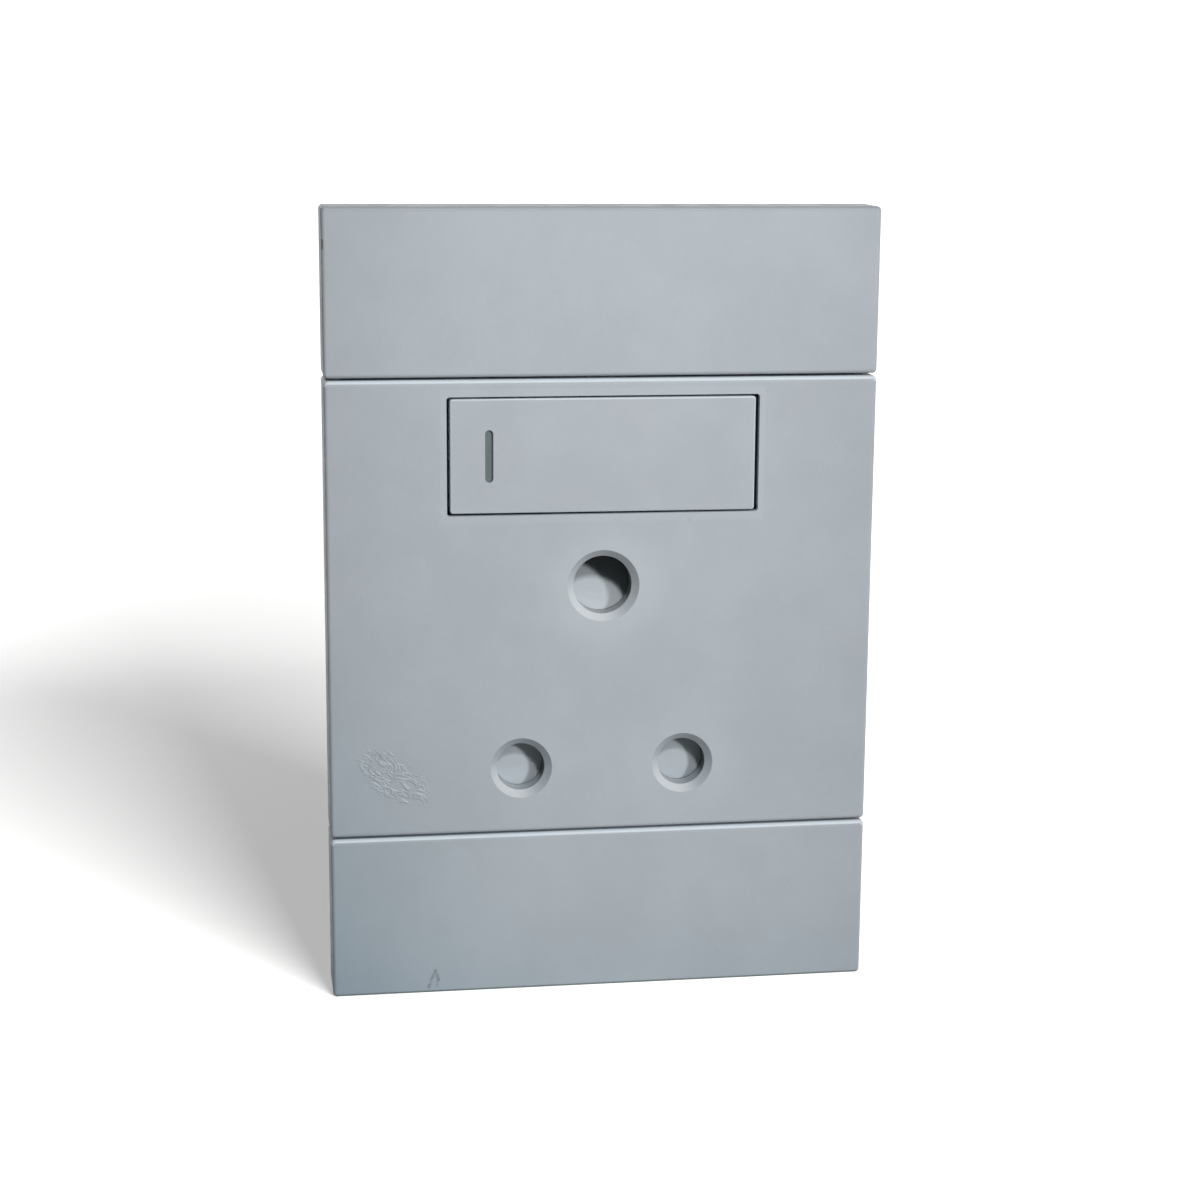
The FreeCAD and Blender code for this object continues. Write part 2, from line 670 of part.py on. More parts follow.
def make_indicator_lens():
    body = new_body("indicator_lens")
    face = S.pivot_depth - S.rocker_recess
    inside = face - S.rocker_wall
    run = S.lens_length / 2 - S.lens_width / 2
    centre = -S.lens_offset
    half = S.lens_width / 2 + S.lens_flange
    rise = S.lens_length / 2 + S.lens_flange
    flange = rectangle(centre - half, centre + half, -rise, rise)
    add(body, inside - S.lens_flange, inside, flange)
    add(body, inside, face - S.lens_recess, slot(centre, 0, run, S.lens_width / 2 - S.thread_gap))
    place_on_rocker(body)
    return body


def make_plunger():
    """A round-nosed plunger that slides in the rocker's barrel."""
    body = new_body("plunger")
    radius = S.plunger_diameter / 2
    start = S.barrel_length - S.plunger_engagement
    turn_profile(body, (start, 0), (start, radius), (S.plunger_reach, radius), (S.plunger_reach, 0))
    nose = radius - S.running_fit
    round_edges(
        body,
        nose,
        lambda edge: ring_at(edge, -S.plunger_reach, 0, 0, radius),
    )
    place_on_rocker(body)
    return body


def make_coil(name, diameter, wire, pitch, length):
    """A round-wire spring that stands on its origin and rises along its own Z."""
    body = new_body(name)
    sketch = new_sketch(body, "XZ_Plane", 0)
    disc(diameter / 2 - wire / 2, wire / 2, wire / 2)(sketch)
    coil = body.newObject("PartDesign::AdditiveHelix", "coil")
    coil.Profile = sketch
    coil.ReferenceAxis = (sketch, ["V_Axis"])
    coil.Mode = "pitch-height-angle"
    bind(coil, "Pitch", pitch)
    bind(coil, "Height", length - wire)
    return body


def make_plunger_spring():
    bore = S.plunger_diameter + 2 * S.running_fit
    body = make_coil(
        "plunger_spring",
        bore - S.slide_gap,
        S.plunger_spring_wire,
        S.plunger_spring_pitch,
        S.plunger_spring_length,
    )
    start = S.barrel_length - S.plunger_engagement - S.plunger_spring_length
    tilt_back = Rotation(Vector(0, 0, 1), Vector(0, 1, 0))
    body.Placement.Rotation = tilt_back
    angle = -S.rest_tilt
    body.setExpression(".Placement.Rotation.Yaw", angle.formula)
    shift = start * sine(S.rest_tilt)
    place(body, shift, start - pivot_level, S.rocker_level)
    return body


# Switch contacts, the blade drawn about the see-saw axis

def make_moving_contact():
    body = new_body("moving_contact")
    half = S.blade_length / 2
    rise = S.blade_width / 2
    add(body, S.blade_rise, S.blade_rise + S.blade_thickness, rectangle(-half, half, -rise, rise))
    knuckle = disc(0, 0, S.knuckle_diameter / 2)
    span = S.cradle_length / 2
    add(body, -span, span, knuckle, plane="XY_Plane")
    place_on_seesaw(body)
    return body


def place_on_seesaw(body):
    place(body, seesaw_offset, -seesaw_level, S.rocker_level)
    tilt(body, S.contact_swing / 2)


def make_moving_contact_rivet():
    body = new_body("moving_contact_rivet")
    centre = S.rivet_offset
    face = S.blade_rise - S.moving_rivet_height
    add(body, face, S.blade_rise, disc(centre, 0, S.rivet_diameter / 2))
    round_edges(
        body,
        S.rivet_edge,
        lambda edge: ring_at(edge, face, centre, 0, S.rivet_diameter / 2),
    )
    place_on_seesaw(body)
    return body


def make_fixed_contact():
    """A strip that lies on the live terminal and ends under the contact rivet."""
    body = new_body("fixed_contact")
    rivet_x = seesaw_offset + S.rivet_offset
    left = rivet_x - S.rivet_diameter / 2
    right = S.live_terminal_offset + S.terminal_width / 2
    low = S.rocker_level - S.strap_width / 2
    high = live_terminal_level + S.terminal_length / 2
    inner = S.live_terminal_offset - S.terminal_width / 2
    outline = polygon(
        (left, low),
        (right, low),
        (right, high),
        (inner, high),
        (inner, S.rocker_level + S.strap_width / 2),
        (left, S.rocker_level + S.strap_width / 2),
    )
    add(body, strap_back, -S.strap_depth, outline)
    return body


def make_fixed_contact_rivet():
    body = new_body("fixed_contact_rivet")
    x = seesaw_offset + S.rivet_offset
    top = S.fixed_rivet_height - S.strap_depth
    add(body, -S.strap_depth, top, disc(x, S.rocker_level, S.rivet_diameter / 2))
    round_edges(
        body,
        S.rivet_edge,
        lambda edge: ring_at(edge, top, x, S.rocker_level, S.rivet_diameter / 2),
    )
    return body


def make_pivot_bracket():
    """A foot on the live strap, with a half-round cradle for the blade's knuckle."""
    body = new_body("pivot_bracket")
    half = S.knuckle_diameter / 2 + S.cradle_wall
    low = turn_height - S.strap_width / 2
    high = S.rocker_level + S.cradle_length / 2
    foot = S.bracket_base - S.strap_depth
    add(body, -S.strap_depth, foot, rectangle(seesaw_offset - half, seesaw_offset + half, low, high))
    cradle_low = S.rocker_level - S.cradle_length / 2
    top = seesaw_level - S.running_fit
    add(body, foot, top, rectangle(seesaw_offset - half, seesaw_offset + half, cradle_low, high))
    groove = disc(seesaw_offset, -seesaw_level, S.knuckle_diameter / 2 + S.running_fit)
    cut(body, cradle_low, high, groove, plane="XY_Plane")
    return body


# Pin sleeves with their straps

def add_sleeve(body, x, z, radius, mouth, length):
    """The outside of a tube of sheet brass for one pin."""
    add(body, -(mouth + length), -mouth, disc(x, z, radius + S.sleeve_wall))


def open_sleeve(body, x, z, radius, mouth, length):
    """The tube's bore, and the slit that lets it spring."""
    cut(body, -(mouth + length), -mouth, disc(x, z, radius))
    slit = rectangle(x - S.sleeve_slit / 2, x + S.sleeve_slit / 2, z - 2 * radius, z)
    cut(body, -S.strap_depth + S.sleeve_slit, -mouth, slit)


def make_live_contact():
    body = new_body("live_contact")
    x = S.pin_pitch / 2
    length = S.strap_depth + S.strap_thickness - S.sleeve_mouth
    add_sleeve(body, x, pin_level, sleeve_radius, S.sleeve_mouth, length)
    left = S.run_offset - S.strap_width / 2
    right = S.run_offset + S.strap_width / 2
    turn_low = turn_height - S.strap_width / 2
    turn_high = turn_height + S.strap_width / 2
    end = seesaw_offset - S.knuckle_diameter / 2 - S.cradle_wall
    strap = polygon(
        (left, pin_level + sleeve_radius),
        (right, pin_level + sleeve_radius),
        (right, turn_high),
        (end, turn_high),
        (end, turn_low),
        (left, turn_low),
    )
    add(body, strap_back, -S.strap_depth, strap)
    open_sleeve(body, x, pin_level, sleeve_radius, S.sleeve_mouth, length)
    return body


def make_neutral_contact():
    body = new_body("neutral_contact")
    x = -(S.pin_pitch / 2)
    length = S.strap_depth + S.strap_thickness - S.sleeve_mouth
    add_sleeve(body, x, pin_level, sleeve_radius, S.sleeve_mouth, length)
    left = -(S.neutral_terminal_offset + S.terminal_width / 2)
    right = -(S.neutral_terminal_offset - S.terminal_width / 2)
    foot = -(neutral_terminal_level + S.terminal_length / 2)
    add(body, strap_back, -S.strap_depth, rectangle(left, right, foot, pin_level))
    open_sleeve(body, x, pin_level, sleeve_radius, S.sleeve_mouth, length)
    return body


def make_earth_contact():
    body = new_body("earth_contact")
    mouth = S.earth_sleeve_mouth
    length = S.earth_sleeve_length
    add_sleeve(body, 0, S.earth_level, earth_sleeve_radius, mouth, length)
    left = -(S.earth_terminal_offset + S.terminal_length / 2)
    low = S.earth_terminal_level - S.terminal_width / 2
    high = S.earth_terminal_level + S.terminal_width / 2
    add(body, strap_back, -S.strap_depth, rectangle(left, 0, low, high))
    open_sleeve(body, 0, S.earth_level, earth_sleeve_radius, mouth, length)
    return body


# Terminals: a brass block with a hole for the conductors and a clamping screw

UPRIGHT = (S.terminal_width, S.terminal_length)
LYING = (S.terminal_length, S.terminal_width)
TERMINALS = [
    ("live", S.live_terminal_offset, live_terminal_level, UPRIGHT),
    ("neutral", -S.neutral_terminal_offset, -neutral_terminal_level, UPRIGHT),
    ("earth", -S.earth_terminal_offset, S.earth_terminal_level, LYING),
]


def make_terminal(name, x, z, block):
    """The wire hole runs upright in the live and neutral blocks, and across in the earth one."""
    across, up = block
    body = new_body(f"{name}_terminal")
    back = terminal_back
    add(body, back, strap_back, rectangle(x - across / 2, x + across / 2, z - up / 2, z + up / 2))
    wire_y = -strap_back + S.wire_depth
    if block is UPRIGHT:
        cut(body, z - up / 2, z + up / 2, disc(x, wire_y, S.wire_bore / 2), plane="XY_Plane")
    else:
        cut(body, x - across / 2, x + across / 2, disc(wire_y, z, S.wire_bore / 2), plane="YZ_Plane")
    thread = S.terminal_screw_diameter / 2 + S.thread_gap
    cut(body, back, strap_back - S.wire_depth, disc(x, z, thread))
    return body


def make_terminal_screw(name, x, z):
    """A slotted screw, drawn along its own axis with its head at the back."""
    shank = S.terminal_screw_diameter / 2
    head = S.terminal_screw_head / 2
    start = -strap_back + S.wire_depth + S.wire_bore / 2
    seat = -terminal_back
    return make_screw(f"{name}_terminal_screw", x, z, start, seat, shank, head, S.terminal_head_height)


def make_screw(name, x, z, tip, seat, shank, head, head_height, neck=None):
    """A screw along Y from its tip to its seat, with the head beyond the seat.

    A screw with a neck has a thinner plain shank between the wall and its seat.
    """
    body = new_body(name)
    direction = 1 if value_of(seat) > value_of(tip) else -1
    crown = seat + direction * head_height
    stem = [(tip, 0), (tip, shank)]
    if neck:
        stem += [(0, shank), (0, neck)]
    turn_profile(body, *stem, (seat, neck or shank), (seat, head), (crown, head), (crown, 0))
    round_edges(body, S.rivet_edge, lambda edge: ring_at(edge, -crown, 0, 0, head))
    slot_half = S.driver_slot_width / 2
    groove = rectangle(-head - S.slide_gap, head + S.slide_gap, -slot_half, slot_half)
    if direction > 0:
        floor = S.driver_slot_depth - crown
        cut(body, -crown, floor, groove)
    else:
        cut(body, -crown - S.driver_slot_depth, -crown, groove)
    place(body, x, 0, z)
    return body


# Rear housing

def make_rear_housing():
    body = new_body("rear_housing")
    back = -S.housing_depth
    add(body, back, S.housing_rim, rectangle(-housing_half, housing_half, -housing_foot, housing_head))
    inner_head = housing_head - S.housing_wall
    inner_foot = S.housing_wall - housing_foot
    chamber = rectangle(-housing_inner, housing_inner, inner_foot, inner_head)
    cut(body, floor_level, S.housing_rim, chamber)
    corners = [(x, z) for x in (-housing_half, housing_half) for z in (-housing_foot, housing_head)]
    round_edges(body, S.corner_radius, lambda edge: upright_corner(edge, corners))
    barrier_high = S.barrier_level + S.well_wall
    barrier = rectangle(-housing_inner, housing_inner, S.barrier_level, barrier_high)
    posts = [disc(x, z, S.boss_diameter / 2) for x, z in BOSSES]
    add(body, floor_level, S.housing_rim, barrier, *posts)
    add_contact_seats(body)
    cut_terminal_wells(body)
    half = S.shutter_spring_diameter / 2
    ledge = rectangle(-half, half, inner_foot, -S.shutter_spring_foot)
    add(body, -half - S.shutter_spring_level, half - S.shutter_spring_level, ledge)
    hole = S.assembly_screw_diameter / 2 + S.cover_hole_gap
    head = S.assembly_screw_head / 2 + S.cover_hole_gap
    cut(body, -S.assembly_head_depth, S.housing_rim, *[disc(x, z, hole) for x, z in BOSSES])
    cut(body, back, -S.assembly_head_depth, *[disc(x, z, head) for x, z in BOSSES])
    return body


def add_contact_seats(body):
    """Walls and round towers that the straps and sleeves stand on."""
    half = S.knuckle_diameter / 2 + S.cradle_wall
    low = turn_height - S.strap_width / 2
    high = S.rocker_level + S.cradle_length / 2
    bracket_seat = rectangle(seesaw_offset - half, seesaw_offset + half, low, high)
    rivet_x = seesaw_offset + S.rivet_offset
    rivet_half = S.rivet_diameter / 2
    rivet_low = S.rocker_level - rivet_half
    anvil = rectangle(rivet_x - rivet_half, rivet_x + rivet_half, rivet_low, rivet_low + S.rivet_diameter)
    lower = sleeve_radius + S.sleeve_wall + S.slide_gap
    upper = earth_sleeve_radius + S.sleeve_wall + S.slide_gap
    half_pitch = S.pin_pitch / 2
    towers = [(half_pitch, pin_level, lower), (-half_pitch, pin_level, lower), (0, S.earth_level, upper)]
    walls = [disc(x, z, radius + S.well_wall) for x, z, radius in towers]
    add(body, floor_level, strap_back, bracket_seat, anvil, *walls)
    run_left = S.run_offset - S.well_wall / 2
    run_right = S.run_offset + S.well_wall / 2
    run_seat = rectangle(run_left, run_right, pin_level + sleeve_radius, turn_height)
    add(body, floor_level, strap_back, run_seat)
    cut(body, floor_level, strap_back, *[disc(x, z, radius - S.sleeve_wall) for x, z, radius in towers])
    earth_end = -(S.earth_sleeve_mouth + S.earth_sleeve_length)
    cut(body, earth_end, strap_back, disc(0, S.earth_level, upper))
    notch = rectangle(
        S.run_offset - S.strap_width / 2 - S.slide_gap,
        S.run_offset + S.strap_width / 2 + S.slide_gap,
        S.barrier_level,
        S.barrier_level + S.well_wall,
    )
    cut(body, strap_back, S.housing_rim, notch)


def well_outline(x, z, block, margin):
    across, up = block
    half = across / 2 + S.terminal_gap + margin
    rise = up / 2 + S.terminal_gap + margin
    return rectangle(x - half, x + half, z - rise, z + rise)


def cut_terminal_wells(body):
    """Walled wells, open to the back, that hold the terminal blocks, with their wire entries."""
    walls = [well_outline(x, z, block, S.well_wall) for _, x, z, block in TERMINALS]
    wells = [well_outline(x, z, block, 0) for _, x, z, block in TERMINALS]
    add(body, floor_level, strap_back, *walls)
    cut(body, -S.housing_depth, strap_back, *wells)
    wire_y = -strap_back + S.wire_depth
    entry = S.wire_bore / 2 + S.entry_margin
    for name, x, z, _ in TERMINALS:
        if name == "live":
            cut(body, z, housing_head, disc(x, wire_y, entry), plane="XY_Plane")
        elif name == "neutral":
            cut(body, -housing_foot, z, disc(x, wire_y, entry), plane="XY_Plane")
        else:
            cut(body, -housing_half, x, disc(wire_y, z, entry), plane="YZ_Plane")


# Shutter

def make_shutter():
    """A pad for each lower hole, on arms below a crossbar, with a ramp behind the upper hole.

    Pressed down by the earth pin, the pads drop clear of the lower holes and the
    pins pass between a pad, its arm and the crossbar.
    """
    body = new_body("shutter")
    edge = S.shutter_half_width
    arm = S.pin_pitch / 2 - S.pin_bore / 2 - S.shutter_gap
    inner = arm - S.shutter_arm
    crossbar = S.earth_level - S.earth_bore / 2
    waist = crossbar - S.shutter_shoulder
    pad = pin_level + S.pin_bore / 2 + S.shutter_cover
    foot = pin_level - S.pin_bore / 2 - S.shutter_cover
    outline = polygon(
        (-edge, foot),
        (-inner, foot),
        (-inner, waist),
        (inner, waist),
        (inner, foot),
        (edge, foot),
        (edge, pad),
        (arm, pad),
        (arm, waist),
        (edge, waist),
        (edge, crossbar),
        (-edge, crossbar),
        (-edge, waist),
        (-arm, waist),
        (-arm, pad),
        (-edge, pad),
    )
    add(body, shutter_back, shutter_front, outline)
    toe = crossbar
    rise = S.shutter_travel - S.slide_gap
    crest = toe + rise
    rear = shutter_front - S.ramp_depth
    half = S.ramp_width / 2
    join = toe - S.ramp_web + S.shutter_thickness * rise / S.ramp_depth
    ramp = polygon(
        (-shutter_front, toe),
        (-rear, crest),
        (-rear, crest - S.ramp_web),
        (-shutter_back, join),
        (-shutter_back, waist),
        (-shutter_front, waist),
    )
    add(body, -half, half, ramp, plane="YZ_Plane")
    reach = -(S.shutter_spring_level + S.shutter_spring_diameter / 2)
    seat_half = S.shutter_spring_diameter / 2
    add(body, reach, shutter_front, rectangle(-seat_half, seat_half, waist, waist + S.spring_seat))
    return body


def make_shutter_spring():
    waist = S.earth_level - S.earth_bore / 2 - S.shutter_shoulder
    length = waist + S.shutter_spring_foot
    body = make_coil(
        "shutter_spring",
        S.shutter_spring_diameter,
        S.shutter_spring_wire,
        S.shutter_spring_pitch,
        length,
    )
    place(body, 0, S.shutter_spring_level, -S.shutter_spring_foot)
    return body


# Mounting frame and screws

def make_mounting_frame():
    body = new_body("mounting_frame")
    half = half_width - S.side_wall - S.frame_gap
    rise = half_height - S.side_wall - S.frame_gap
    add(body, 0, S.frame_thickness, rectangle(-half, half, -rise, rise))
    rim_inner = half - S.frame_rim
    rim_rise = rise - S.frame_rim
    rim_top = S.frame_thickness + S.frame_rim
    add(body, S.frame_thickness, rim_top, rectangle(-half, half, -rise, rise))
    cut(body, S.frame_thickness, rim_top, rectangle(-rim_inner, rim_inner, -rim_rise, rim_rise))
    window = rectangle(
        -housing_half - S.frame_window_gap,
        housing_half + S.frame_window_gap,
        -housing_foot - S.frame_window_gap,
        housing_head + S.frame_window_gap,
    )
    cut(body, 0, S.frame_thickness, window)
    cheek_half = S.trunnion_ear + S.barrel_wall + S.frame_window_gap
    cheek_room = rectangle(-cheek_half, cheek_half, housing_head, upper_edge + S.frame_window_gap)
    cut(body, 0, S.frame_thickness, cheek_room)
    cut_hook_windows(body, UPPER_HOOKS + LOWER_HOOKS + PLATE_HOOKS)
    slot_radius = S.box_screw_diameter / 2 + S.screw_slot_gap
    slot_run = S.screw_slot_length / 2 - slot_radius
    levels = [end * S.box_screw_pitch / 2 for end in SIDES]
    slots = [slot(0, level, slot_run, slot_radius, upright=False) for level in levels]
    cut(body, 0, S.frame_thickness, *slots)
    return body


def make_box_screw(name, direction):
    z = direction * S.box_screw_pitch / 2
    seat = -S.frame_thickness
    shank = S.box_screw_diameter / 2
    head = S.box_screw_head / 2
    neck = S.box_screw_neck / 2
    return make_screw(name, 0, z, S.box_screw_length, seat, shank, head, S.box_head_height, neck)


def make_assembly_screw(name, x, z):
    tip = -(S.housing_rim + S.assembly_screw_grip)
    seat = S.assembly_head_depth
    shank = S.assembly_screw_diameter / 2
    head = S.assembly_screw_head / 2
    return make_screw(name, x, z, tip, seat, shank, head, S.assembly_head_height)


# The whole part

parts = [
    make_end_cover("top_cover", 1),
    make_end_cover("bottom_cover", -1),
    make_front_plate(),
    make_rocker(),
    make_indicator_lens(),
    make_plunger(),
    make_plunger_spring(),
    make_moving_contact(),
    make_moving_contact_rivet(),
    make_pivot_bracket(),
    make_fixed_contact(),
    make_fixed_contact_rivet(),
    make_live_contact(),
    make_neutral_contact(),
    make_earth_contact(),
    make_shutter(),
    make_shutter_spring(),
    make_rear_housing(),
    make_mounting_frame(),
    make_box_screw("box_screw_upper", 1),
    make_box_screw("box_screw_lower", -1),
]
for name, x, z, block in TERMINALS:
    parts.append(make_terminal(name, x, z, block))
    parts.append(make_terminal_screw(name, x, z))
for number, (x, z) in enumerate(BOSSES, start=1):
    parts.append(make_assembly_screw(f"assembly_screw_{number}", x, z))

doc.recompute()

for item in doc.Objects:
    if "Invalid" in item.State or "Error" in item.State:
        raise RuntimeError(f"{item.Label} failed: {item.State}")
    if item.isDerivedFrom("PartDesign::Pocket") and item.Shape.Volume >= item.BaseFeature.Shape.Volume:
        raise RuntimeError(f"{item.Label} cuts nothing")
for part in parts:
    shape = part.Shape
    if shape.isNull() or not shape.isValid() or len(shape.Solids) != 1:
        raise RuntimeError(f"{part.Label} isn't one valid solid")

os.makedirs("parts", exist_ok=True)
for part in parts:
    part.Shape.exportStep(os.path.join("parts", f"{part.Label}.step"))
    box = part.Shape.BoundBox
    print(
        f"{part.Label}: {part.Shape.Volume:.1f} mm3,"
        f" x {box.XMin:.2f} to {box.XMax:.2f},"
        f" y {box.YMin:.2f} to {box.YMax:.2f},"
        f" z {box.ZMin:.2f} to {box.ZMax:.2f}"
    )
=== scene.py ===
import math

import bpy
from bpy.props import FloatProperty, FloatVectorProperty, PointerProperty
from mathutils import Matrix, Vector


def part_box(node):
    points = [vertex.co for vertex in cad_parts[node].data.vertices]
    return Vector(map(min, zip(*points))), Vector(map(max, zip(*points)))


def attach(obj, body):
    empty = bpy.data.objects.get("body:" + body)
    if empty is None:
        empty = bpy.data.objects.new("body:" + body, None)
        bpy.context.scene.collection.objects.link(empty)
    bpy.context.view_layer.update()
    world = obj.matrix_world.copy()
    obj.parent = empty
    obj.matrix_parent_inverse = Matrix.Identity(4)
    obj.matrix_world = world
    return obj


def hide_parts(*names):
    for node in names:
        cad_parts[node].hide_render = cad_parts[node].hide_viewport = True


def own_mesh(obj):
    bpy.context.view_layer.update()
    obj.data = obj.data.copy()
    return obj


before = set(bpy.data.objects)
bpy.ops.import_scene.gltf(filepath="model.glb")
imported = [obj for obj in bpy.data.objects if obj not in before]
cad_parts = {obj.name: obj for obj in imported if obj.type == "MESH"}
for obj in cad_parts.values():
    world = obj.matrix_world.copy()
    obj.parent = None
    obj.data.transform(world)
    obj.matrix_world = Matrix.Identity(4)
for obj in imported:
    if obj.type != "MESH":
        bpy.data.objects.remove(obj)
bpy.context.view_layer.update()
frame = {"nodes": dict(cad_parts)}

bl_info = {
    "name": "Switched Socket",
    "version": (1, 0, 0),
    "blender": (4, 5, 0),
    "location": "View3D > Sidebar > Socket",
    "description": "Finishes, screws and stage for a tall switched wall socket",
    "category": "Object",
}

MM = 0.001
PLATE_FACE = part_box("front_plate")[0][1]
FLOOR_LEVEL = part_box("bottom_cover")[0][2]

# Places and sizes in millimetres; a place on the plate's face is (x, z)
FACE = PLATE_FACE / MM
TRUNNION_LENGTH = 1.3

# Pin holes: centre x and z, radius, and how strong the painted pale glow round them is
PIN_HOLES = ((0.0, 3.6, 4.55, 0.07), (12.7, -25.0, 3.75, 0.035), (-12.7, -25.0, 3.75, 0.02))

# The wrinkled patch: its middle, its slope down to the right as cosine and sine, and its half sizes
SCUFF_MIDDLE = (-32.5, -25.8)
SCUFF_COSINE, SCUFF_SINE = 0.77, 0.64
SCUFF_REACH, SCUFF_BREADTH = 7.2, 3.6

# The rubbed mark near the foot: its corners, and how dark each of its three strokes is
SMUDGE_CORNERS = ((-27.4, -60.2), (-26.3, -57.5), (-25.85, -59.0), (-26.05, -60.0))
SMUDGE_STRENGTHS = (0.5, 0.75, 0.35)

# The nick on the left edge, from end to end
NICK_ENDS = ((-42.3, 56.2), (-42.3, 55.2))

# Where the springs stand still, as (x, y, z), and the tilt of the plunger's barrel at rest
BARREL_FLOOR = (0.0, -5.7, 23.85)
BARREL_TILT = math.radians(1.0)
SHUTTER_LEDGE = (0.0, 0.6, -31.0)

PLASTIC_IOR = 1.46

# What painted glow, painted highlight, painted shade, dust and tarnish turn a surface to
# A painted glow round the pin holes, and a painted highlight on their lead-ins
PAINTED_GLOW_HALO = (0.93, 0.98, 1.0, 1.0)
PAINTED_GLINT = (0.97, 0.97, 1.0, 1.0)
# Painted shade for the walls inside the holes
HOLE_PAINTED_SHADE = (0.024, 0.040, 0.034, 1.0)
# Painted shade for the foot
FOOT_PAINTED_SHADE = (0.10, 0.15, 0.14, 1.0)
PALE_DUST = (0.6, 0.59, 0.56, 1.0)
BROWN_TARNISH = (0.16, 0.085, 0.03)


# Node trees

class Shading:
    """Builds the node tree of one material or world, with its nodes laid out from left to right."""

    def __init__(self, owner):
        owner.use_nodes = True
        self.tree = owner.node_tree
        self.tree.nodes.clear()
        self.column = 0

    def add(self, kind, settings=None, **inputs):
        node = self.tree.nodes.new(kind)
        node.location = (self.column, 0)
        self.column += 180
        for name, value in (settings or {}).items():
            setattr(node, name, value)
        for name, value in inputs.items():
            self.feed(node, name, value)
        return node

    def feed(self, node, name, value):
        """Link or set an input, named in words with underscores or by its number as in_0."""
        if name.startswith("in_"):
            socket = node.inputs[int(name[3:])]
        else:
            socket = node.inputs[name.replace("_", " ")]
        if isinstance(value, bpy.types.NodeSocket):
            self.tree.links.new(value, socket)
        else:
            socket.default_value = value

    def math(self, operation, first, second=0.0, third=0.0, clamp=False):
        settings = {"operation": operation, "use_clamp": clamp}
        return self.add("ShaderNodeMath", settings, in_0=first, in_1=second, in_2=third).outputs[0]

    def spread(self, value, low, high, out_low=0.0, out_high=1.0):
        """Map low..high onto out_low..out_high with soft ends."""
        settings = {"interpolation_type": "SMOOTHSTEP"}
        node = self.add("ShaderNodeMapRange", settings, Value=value, From_Min=low, From_Max=high)
        node.inputs["To Min"].default_value = out_low
        node.inputs["To Max"].default_value = out_high
        return node.outputs["Result"]

    def distance(self, first, second):
        """How far apart two points are."""
        settings = {"operation": "DISTANCE"}
        return self.add("ShaderNodeVectorMath", settings, in_0=first, in_1=second).outputs["Value"]

    def flat(self, place):
        """A place with its depth taken away."""
        settings = {"operation": "MULTIPLY"}
        return self.add("ShaderNodeVectorMath", settings, in_0=place, in_1=(1.0, 0.0, 1.0)).outputs[0]

    def millimetres(self):
        """The piece's own coordinates, in millimetres."""
        place = self.add("ShaderNodeTexCoord").outputs["Object"]
        return self.add("ShaderNodeVectorMath", {"operation": "SCALE"}, in_0=place, Scale=1000.0).outputs[0]

    def noise(self, place, scale, detail=2.0, roughness=0.5, distortion=0.0):
        node = self.add("ShaderNodeTexNoise", Vector=place, Scale=scale, Detail=detail)
        node.inputs["Roughness"].default_value = roughness
        node.inputs["Distortion"].default_value = distortion
        return node.outputs["Fac"]

    def blend(self, amount, first, second, mode="MIX"):
        settings = {"data_type": "RGBA", "blend_type": mode}
        node = self.add("ShaderNodeMix", settings, in_0=amount, in_6=first, in_7=second)
        return node.outputs[2]

    def bump(self, height, strength, distance, below=None):
        node = self.add("ShaderNodeBump", Height=height, Strength=strength, Distance=distance)
        if below is not None:
            self.feed(node, "Normal", below)
        return node.outputs["Normal"]

    def finish(self, shader, output="ShaderNodeOutputMaterial"):
        self.add(output, Surface=shader)


def shade(colour, factor):
    """The colour times a factor, with full alpha."""
    return (*[min(channel * factor, 1.0) for channel in colour[:3]], 1.0)


def new_finish(name):
    """A new material, and the builder of its node tree."""
    material = bpy.data.materials.new(name)
    return material, Shading(material)


# Marks on the front mouldings, drawn in millimetres on the plate's face

def scuff_amount(s, place):
    """The patch of fine wrinkles at the lower left of the centre moulding, from 0 to 1."""
    parts = s.add("ShaderNodeSeparateXYZ", Vector=place)
    across = s.math("SUBTRACT", parts.outputs["X"], SCUFF_MIDDLE[0])
    up = s.math("SUBTRACT", parts.outputs["Z"], SCUFF_MIDDLE[1])
    down = s.math("MULTIPLY", up, SCUFF_SINE)
    along = s.math("SUBTRACT", s.math("MULTIPLY", across, SCUFF_COSINE), down)
    rise = s.math("MULTIPLY", up, SCUFF_COSINE)
    side = s.math("ADD", s.math("MULTIPLY", across, SCUFF_SINE), rise)
    reach = s.math("POWER", s.math("MULTIPLY", along, 1 / SCUFF_REACH), 2.0)
    breadth = s.math("POWER", s.math("MULTIPLY", side, 1 / SCUFF_BREADTH), 2.0)
    distance = s.math("ADD", reach, breadth)
    ragged = s.math("ADD", distance, s.math("MULTIPLY", s.noise(place, 0.45, 3.0), 0.9))
    return s.spread(ragged, 1.45, 0.95)


def wrinkle_height(s, place):
    """Crumpled ridges that branch and cross, mostly along the patch."""
    turn = s.add("ShaderNodeMapping", {"vector_type": "TEXTURE"}, Vector=place)
    turn.inputs["Rotation"].default_value = (0.0, math.radians(38.0), 0.0)
    turn.inputs["Scale"].default_value = (1.7, 1.0, 1.0)
    bent = s.add("ShaderNodeTexNoise", Vector=turn.outputs[0], Scale=0.66, Detail=2.0, Distortion=1.2)
    folds = s.math("ABSOLUTE", s.math("SUBTRACT", bent.outputs["Fac"], 0.5))
    return s.spread(folds, 0.085, 0.0)


